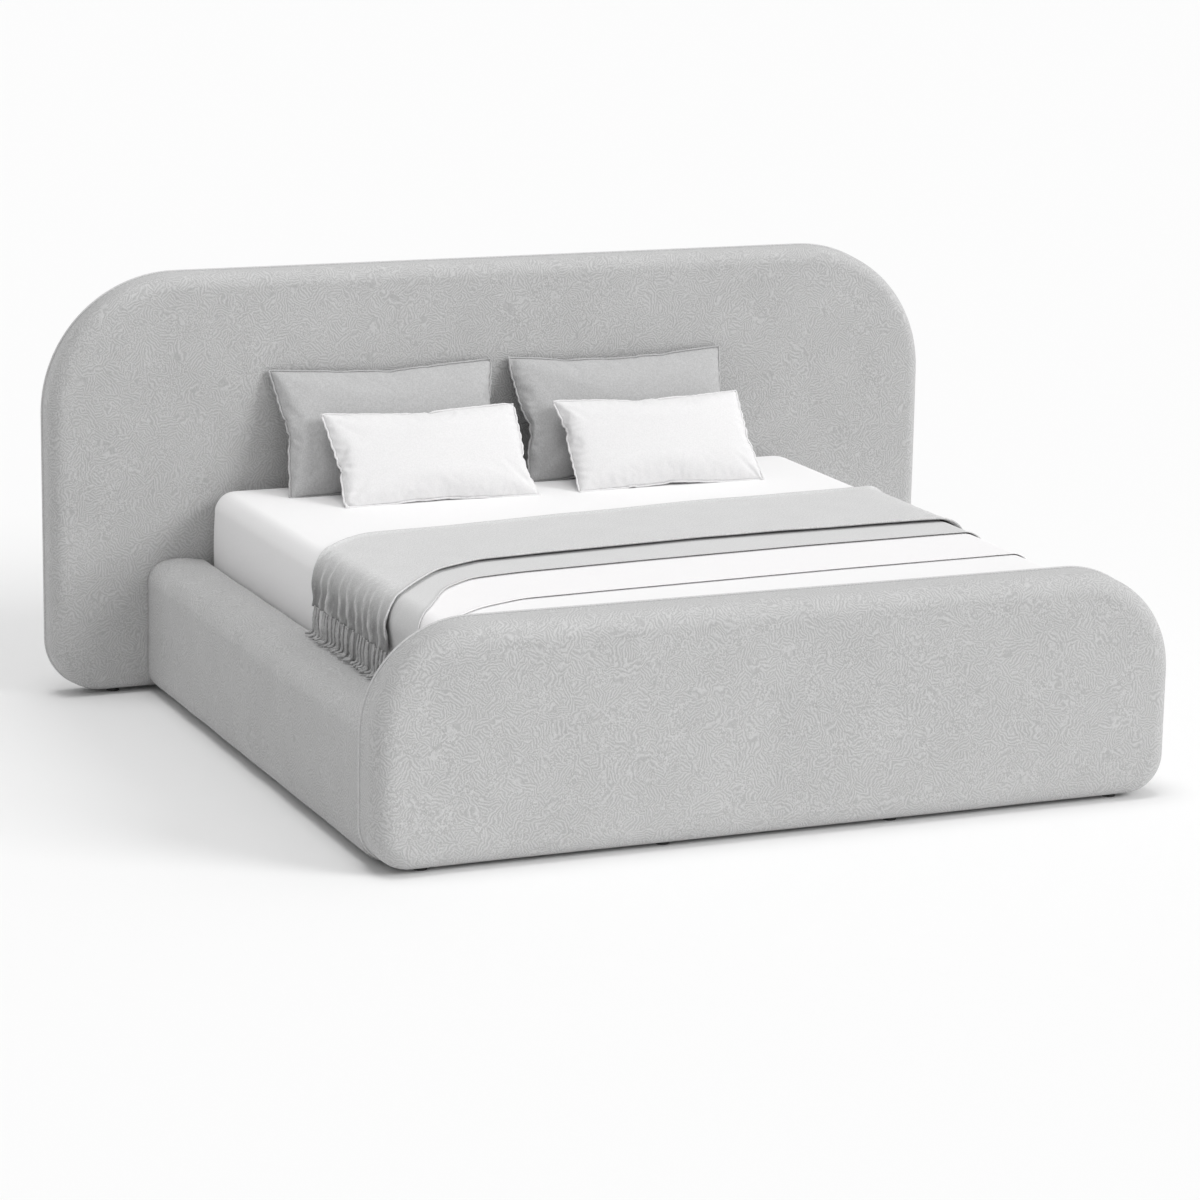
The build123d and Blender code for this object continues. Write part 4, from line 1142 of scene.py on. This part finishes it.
@dataclass
class Pillow:
    """A stuffed pillow, blown up from two flat cloths sewn together round their edge."""

    shade: str
    side: str
    size: tuple[float, float, float]
    lean: float
    seed: int
    cut_share: tuple[float, float] = (1.045, 1.075)
    flat_gap: float = 0.012
    wobble: float = 0.0015
    draw_share: tuple[float, float] = (0.62, 0.30)
    fullness: float = 0.70
    pucker: float = 0.0034
    pucker_spacing: float = 0.036
    pucker_band: float = 0.042
    pucker_start: float = 0.008
    rim_wave: float = 0.0016
    rim_band: float = 0.02
    corner_reach: float = 0.05
    cord_radius: float = 0.0034
    cord_proud: float = 0.0014
    frames: int = 24
    columns: int = 92
    rows: int = 54

    @property
    def name(self) -> str:
        """Name of the pillow and of its body."""
        return f"{self.shade}_pillow_{self.side}"

    @property
    def half_cut(self) -> Floats:
        """Half the width and height that the flat cloths are cut to."""
        return np.array(self.size[:2]) * np.array(self.cut_share) / 2

    def flat_case(self) -> tuple[Floats, Faces]:
        """Two cloths joined at their edge, a little apart in the middle.

        Both are the same grid. The distance between them is the product of two parabolas, and the
        edge row is shared.

        Returns:
            Vertices and faces.
        """
        axes = (np.linspace(-1, 1, self.columns), np.linspace(-1, 1, self.rows))
        across, up = np.meshgrid(*axes, indexing="ij")
        gap = self.flat_gap * (1 - across**2) * (1 - up**2)
        wide, tall = self.half_cut
        front = np.stack([across * wide, up * tall, gap], axis=-1).reshape(-1, 3)
        back = front * np.array([1, 1, -1])
        inner = (np.abs(across) != 1) & (np.abs(up) != 1)
        twin = np.arange(inner.size).reshape(inner.shape)
        twin[inner] = inner.size + np.arange(int(inner.sum()))
        vertices = np.vstack([front, back[inner.ravel()]])
        quads = grid_faces(self.columns, self.rows)
        return vertices, quads[:, ::-1].tolist() + twin.ravel()[quads].tolist()

    def blow_up(self, piece: Piece) -> Floats:
        """Runs the cloth simulation with pressure inside.

        Args:
            piece: The flat case.

        Returns:
            The vertices of the blown-up case.
        """
        scene = bpy.context.scene
        cloth = piece.modifiers.new("blow_up", "CLOTH")
        stiffness = {"tension": 22, "compression": 22, "shear": 8, "bending": 0.9}
        for way, value in stiffness.items():
            setattr(cloth.settings, f"{way}_stiffness", value)
        cloth.settings.quality = 5
        cloth.settings.mass = 0.25
        cloth.settings.use_pressure = True
        cloth.settings.uniform_pressure_force = 2.6
        cloth.settings.effector_weights.gravity = 0
        cloth.collision_settings.use_collision = False
        cloth.point_cache.frame_start = 1
        cloth.point_cache.frame_end = self.frames
        for frame in range(1, self.frames + 1):
            scene.frame_set(frame)
        shaped = piece.evaluated_get(bpy.context.evaluated_depsgraph_get()).data
        places = np.empty(len(shaped.vertices) * 3, dtype=np.float64)
        shaped.vertices.foreach_get("co", places)
        piece.modifiers.remove(cloth)
        scene.frame_set(1)
        return places.reshape(-1, 3)

    def lens(self, places: Floats) -> Floats:
        """The plain crowned form, without the simulation; nothing in this script calls it."""
        shaped = places.copy()
        across, up = (np.abs(places[:, :2]) / self.half_cut).T
        rise = (1 - across**2.4) * (1 - up**2.2)
        shaped[:, 2] = np.sign(places[:, 2]) * self.size[2] / 2 * np.sqrt(np.clip(rise, 0, 1))
        return shaped

    def stuff(self, flat: Floats, places: Floats) -> Floats:
        """Brings the blown-up form to size and puckers it along the seam, still lying flat.

        The cloth keeps only a share of how far the pressure drew it in, because the stuffing holds
        the case's edges out, and its thickness is raised to a power below one, which fills it near
        the seam. Puckers run along the seam: a sine of the place along the edge, with a smooth
        noise in its phase, that fades both at the seam and a few centimetres in from it.

        Args:
            flat: Vertices of the flat case.
            places: Vertices of the blown-up case.

        Returns:
            The vertices.
        """
        drawn = places.copy()
        drawn[:, :2] = flat[:, :2] + np.array(self.draw_share) * (places[:, :2] - flat[:, :2])
        half = np.abs(drawn[:, 2]).max()
        drawn[:, 2] = np.sign(drawn[:, 2]) * half * (np.abs(drawn[:, 2]) / half) ** self.fullness
        low, high = drawn.min(axis=0), drawn.max(axis=0)
        shaped = (drawn - (low + high) / 2) * (np.array(self.size) / (high - low))
        rest = np.abs(flat[:, :2]).max(axis=0) - np.abs(flat[:, :2])
        inset = rest.min(axis=1)
        at_end = rest[:, 0] < rest[:, 1]
        run = np.where(at_end, flat[:, 1], flat[:, 0])
        play = 3.2 * gentle_noise(flat + self.seed, 0.13, self.seed + 5)
        phase = 2 * np.pi * run / self.pucker_spacing + play
        strength = np.where(at_end, 1.0, 0.35) * (0.7 + 0.6 * np.abs(np.sin(phase / 5)))
        band = strength * bell(inset, self.pucker_band) * (1 - bell(inset, self.pucker_start))
        off_corner = 1 - bell(np.hypot(rest[:, 0], rest[:, 1]), self.corner_reach)
        shaped[:, 2] += np.sign(flat[:, 2]) * self.pucker * band * off_corner * np.sin(phase)
        wave = self.rim_wave * strength * bell(inset, self.rim_band) * off_corner * (1 + np.sin(phase))
        shaped[:, :2] -= np.sign(shaped[:, :2]) * np.where(rest < rest[:, ::-1], wave[:, None], 0)
        return shaped

    def settle(self, shaped: Floats, bed_top: float, wall: float) -> Floats:
        """Leans the pillow back in its frame node's place and presses it flat where it rests.

        Args:
            shaped: Vertices of the stuffed pillow, lying flat.
            bed_top: Height of the bed's top.
            wall: Y of the headboard's face.

        Returns:
            The vertices in place.
        """
        clearance, wall_gap, soft_edge = 0.0015, 0.002, 0.02
        low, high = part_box(f"{self.name}_cover")
        centre = (np.array(low) + np.array(high)) / 2
        cos, sin = math.cos(self.lean), math.sin(self.lean)
        axes = np.array([[1.0, 0.0, 0.0], [0.0, sin, cos], [0.0, -cos, sin]])
        placed = centre + shaped @ axes
        floor = bed_top + clearance
        under = np.clip(floor + soft_edge - placed[:, 2], 0, None)
        sunk = np.clip(floor - placed[:, 2], 0, None)
        placed[:, 2] += sunk + 0.1 * np.minimum(under, 0.004)
        placed[:, 1] = np.minimum(placed[:, 1], wall - wall_gap)
        return placed

    def seam_cord(self, wardrobe: Wardrobe, placed: Floats) -> None:
        """Makes the thin corded seam: a tube round the edge's vertices, taken once round.

        Args:
            wardrobe: Where the finishes come from.
            placed: Vertices of the placed pillow.
        """
        own = np.arange(self.columns * self.rows).reshape(self.columns, self.rows)
        path = placed[np.concatenate([own[:-1, 0], own[-1, :-1], own[:0:-1, -1], own[0, :0:-1]])]
        ahead = closed_ahead(path)
        out = unit(np.cross(ahead, np.array([0.0, -math.cos(self.lean), math.sin(self.lean)])))
        tube = closed_tube(path + self.cord_proud * out, out, np.cross(out, ahead), self.cord_radius, 8)
        cord = link_mesh(f"{self.name}_seam_cord", *tube)
        wardrobe.dress(cord, f"{self.shade}_pillowcase", self.name)

    def build(self, wardrobe: Wardrobe, bed_top: float, wall: float) -> None:
        """Makes the pillow and its corded seam.

        Args:
            wardrobe: Where the finishes come from.
            bed_top: Height of the bed's top.
            wall: Y of the headboard's face.
        """
        vertices, faces = self.flat_case()
        wobble = gentle_noise(vertices + self.seed, 0.10, self.seed) * self.wobble
        vertices[:, 2] += wobble * (np.abs(vertices[:, 2]) > 1e-6)
        piece = link_mesh(self.name, vertices, faces)
        shaped = self.blow_up(piece)
        placed = self.settle(self.stuff(vertices, shaped), bed_top, wall)
        piece.data.vertices.foreach_set("co", placed.astype(np.float32).ravel())
        piece.data.update()
        smooth = piece.modifiers.new("fine", "SUBSURF")
        smooth.levels = smooth.render_levels = 1
        nodes = (f"{self.name}_cover", f"{self.name}_filling")
        wardrobe.dress(piece, f"{self.shade}_pillowcase", self.name, *nodes)
        self.seam_cord(wardrobe, placed)


# Studio


@dataclass
class Studio:
    """Floor, light and camera."""

    camera_place: tuple[float, float, float] = (-4.6683, -10.5881, 3.1206)
    yaw: float = 0.4077
    pitch: float = 0.2284
    roll: float = 0.0176
    focal_pixels: float = 3914.7
    image_width: float = 1200.0
    sensor: float = 36.0
    floor_half: float = 40.0
    floor_grey: float = 0.895
    ambient: float = 0.435
    grade: tuple[float, float, float] = (0.34, -0.14, 0.38)
    lights: tuple[tuple[str, float, tuple[float, float, float], float], ...] = (
        ("key", 1.42, (0.64, -0.60, 0.48), 26.0),
        ("top", 1.04, (-0.09, -0.03, 0.995), 26.0),
    )

    def build_floor(self) -> None:
        """A plain pale floor under the bed."""
        half = self.floor_half
        corners = np.insert(rectangle((-half, -half), (half, half)), 2, 0, axis=-1)
        floor = link_mesh("floor", corners, [[0, 1, 2, 3]], smooth=False)
        colour = (*grey(self.floor_grey), 1)
        material, _, _ = new_material("floor", Base_Color=colour, Roughness=1.0, Specular_IOR_Level=0.0)
        floor.data.materials.append(material)

    def build_light(self) -> None:
        """Soft light from all round, graded towards the upper right, a key from there and a top light.

        The surround's strength is the ambient level times one plus the direction's dot product with
        the grade, and it is plain white where the camera or a reflection sees it.
        """
        world = bpy.data.worlds.new("studio")
        bpy.context.scene.world = world
        world.use_nodes = True
        wires = Wiring(world.node_tree)
        path = wires.node("ShaderNodeLightPath")
        direct = wires.math("MAXIMUM", path.outputs["Is Camera Ray"], path.outputs["Is Glossy Ray"])
        seen = wires.math("MAXIMUM", direct, path.outputs["Is Transmission Ray"])
        direction = wires.node("ShaderNodeTexCoord").outputs["Generated"]
        lean = wires.vector("DOT_PRODUCT", direction, self.grade)
        graded = wires.math("MULTIPLY_ADD", lean, self.ambient, self.ambient)
        level = wires.mix(seen, graded, 1.0, data_type="FLOAT")
        wires.fill(world.node_tree.nodes["Background"], Color=(1, 1, 1, 1), Strength=level)
        for name, strength, aim, spread in self.lights:
            lamp = bpy.data.lights.new(name, "SUN")
            lamp.energy = strength
            lamp.angle = math.radians(spread)
            light = bpy.data.objects.new(name, lamp)
            light.rotation_mode = "QUATERNION"
            light.rotation_quaternion = Vector(aim).to_track_quat("Z", "Y")
            bpy.context.scene.collection.objects.link(light)

    def build_camera(self) -> None:
        """The camera at the photograph's place: yaw to the right, pitch down and a slight roll."""
        cos_yaw, sin_yaw = math.cos(self.yaw), math.sin(self.yaw)
        cos_pitch, sin_pitch = math.cos(self.pitch), math.sin(self.pitch)
        ahead = Vector((sin_yaw * cos_pitch, cos_yaw * cos_pitch, -sin_pitch))
        level = Vector((cos_yaw, -sin_yaw, 0.0))
        upright = level.cross(ahead)
        right = level * math.cos(self.roll) + upright * math.sin(self.roll)
        up = upright * math.cos(self.roll) - level * math.sin(self.roll)
        lens = bpy.data.cameras.new("camera")
        lens.sensor_width = self.sensor
        lens.lens = self.sensor * self.focal_pixels / self.image_width
        lens.clip_end = 200.0
        camera = bpy.data.objects.new("camera", lens)
        turn = Matrix((right, up, -ahead)).transposed().to_4x4()
        camera.matrix_world = Matrix.Translation(self.camera_place) @ turn
        bpy.context.scene.collection.objects.link(camera)
        bpy.context.scene.camera = camera

    def build(self) -> None:
        """Sets up the whole studio."""
        self.build_floor()
        self.build_light()
        self.build_camera()
        bpy.context.scene.view_settings.view_transform = "Standard"


# Building order


SHEET_RISE = 0.008
THROW_BACK = (
    (-1.20, -0.09), (-1.05, -0.08), (-0.97, -0.02), (-0.89, 0.075), (-0.80, 0.140), (-0.49, 0.165),
    (0.35, 0.263), (0.90, 0.29), (1.2, 0.30),
)
THROW_FRONT = (
    (-1.20, -0.70), (-1.08, -0.71), (-0.99, -0.65), (-0.89, -0.52), (-0.77, -0.38), (-0.60, -0.29),
    (0.13, -0.22), (0.74, -0.212), (1.2, -0.22),
)
BLANKET_BACK = tuple((along, y - 0.20) for along, y in THROW_BACK)
BLANKET_FRONT = (
    (-1.25, -0.91), (-1.12, -0.92), (-1.02, -0.89), (-0.93, -0.76), (-0.82, -0.57), (-0.70, -0.47),
    (-0.54, -0.44), (-0.15, -0.41), (0.39, -0.38), (0.86, -0.37), (1.2, -0.37),
)
COVERLET_BACK = tuple((along, y - 0.30) for along, y in THROW_BACK)
COVERLET_FRONT = (
    (-1.25, -0.95), (-1.05, -0.95), (-0.92, -0.90), (-0.80, -0.80), (-0.65, -0.735), (-0.41, -0.72),
    (0.37, -0.68), (1.2, -0.66),
)
TASSELS = {"left": 25, "right": 20}
PILLOWS = {
    "grey": ((0.748, 0.428, 0.132), math.radians(28)),
    "white": ((0.648, 0.345, 0.106), math.radians(42)),
}


def build_upholstery(wardrobe: Wardrobe) -> None:
    """Headboard, footboard and side rails."""
    UpholsteredPad(
        "headboard", top_radius=0.430, bottom_radius=0.165, rounding=0.050, crown=0.002, sag_seed=1
    ).build(wardrobe)
    UpholsteredPad(
        "footboard",
        top_radius=0.305,
        bottom_radius=0.115,
        rounding=0.060,
        crown=0.006,
        sag_seed=2,
        more_nodes=("footboard_wadding",),
    ).build(wardrobe)
    for side in SIDES:
        SideRail(side).build(wardrobe)


def build_blocks(wardrobe: Wardrobe) -> None:
    """Box springs, mattress, fitted sheet and dust cloths."""
    for side in SIDES:
        block = SoftBlock(
            f"box_spring_{side}",
            body="box_springs",
            slot="ticking",
            nodes=(f"box_cover_{side}", f"box_padding_{side}"),
            corner=0.022,
            top_rounding=0.018,
            base_rounding=0.004,
            swell=0.002,
        ).build(wardrobe)
    layers = ("ticking", "base_foam", "border_foam", "comfort_foam", "pocket_springs")
    mattress = SoftBlock(
        "mattress_body",
        body="mattress",
        slot="ticking",
        nodes=tuple(f"mattress_{layer}" for layer in layers),
        corner=0.073,
        top_rounding=0.060,
        base_rounding=0.018,
        swell=0.005,
        spread=0.006,
        rise=0.006,
    ).build(wardrobe)
    build_sheet(wardrobe)
    for side in SIDES:
        DustCloth(side).build(wardrobe)


def build_sheet(wardrobe: Wardrobe) -> None:
    """The fitted sheet: a cut square with its corners out, drawn down the sides and under the hem."""
    sheet = SoftBlock(
        "sheet_cloth",
        body="mattress",
        slot="white_sheet",
        nodes=("fitted_sheet",),
        corner=0.075,
        top_rounding=0.062,
        base_rounding=0.020,
        swell=0.005,
        spread=SHEET_RISE,
        rise=SHEET_RISE,
        pucker=0.0012,
        hem_under=0.04,
    ).build(wardrobe)
    thicken(sheet, 0.001)


def build_bedding(wardrobe: Wardrobe) -> None:
    """Coverlet, blanket and fringed throw, one over the other."""
    low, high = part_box("fitted_sheet")
    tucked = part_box("white_coverlet")[0].z
    arch = BedArch(
        half_width=(high.x - low.x) / 2 + 0.011,
        top=high.z + SHEET_RISE,
        radius=0.068,
        rail_top=tucked + 0.010,
    )
    tuck = tucked + 0.004
    for name, slot, level, back, front in (
        ("coverlet", "white_coverlet", 0.0045, COVERLET_BACK, COVERLET_FRONT),
        ("blanket", "grey_blanket", 0.0095, BLANKET_BACK, BLANKET_FRONT),
    ):
        cloth = f"{name}_cloth"
        cover = Cover(cloth, slot, slot, arch, level, thickness=0.003, hem=tuck, back=back, front=front)
        cover.declare(cover.build(wardrobe))
    throw = Cover(
        "throw_cloth",
        "grey_throw",
        "fringed_throw",
        arch,
        level=0.0165,
        thickness=0.005,
        hem=0.512,
        back=THROW_BACK,
        front=THROW_FRONT,
        edge_roll=0.006,
        fold_depth=0.0135,
        fold_count=9.0,
        crease=0.0026,
    )
    cloth = throw.build(wardrobe)
    throw.declare(cloth, tuple(Fringe(throw, side, count).build(wardrobe) for side, count in TASSELS.items()))


def build_pillows(wardrobe: Wardrobe) -> None:
    """Two grey pillows against the headboard and two white ones leaning on them."""
    bed_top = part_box("fitted_sheet")[1].z + SHEET_RISE
    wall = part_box("headboard_cover")[0].y
    seed = 10
    for shade, (size, lean) in PILLOWS.items():
        for side in SIDES:
            Pillow(shade, side, size, lean, seed).build(wardrobe, bed_top, wall)
            seed += 1


def main() -> None:
    """Builds the dressed bed in order."""
    logging.basicConfig(level=logging.INFO, format="%(name)s: %(message)s")
    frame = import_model()
    wardrobe = Wardrobe()
    wardrobe.build()
    wardrobe.dress_nodes(frame)
    build_upholstery(wardrobe)
    build_blocks(wardrobe)
    build_bedding(wardrobe)
    build_pillows(wardrobe)
    Studio().build()


if __name__ == "__main__":
    main()
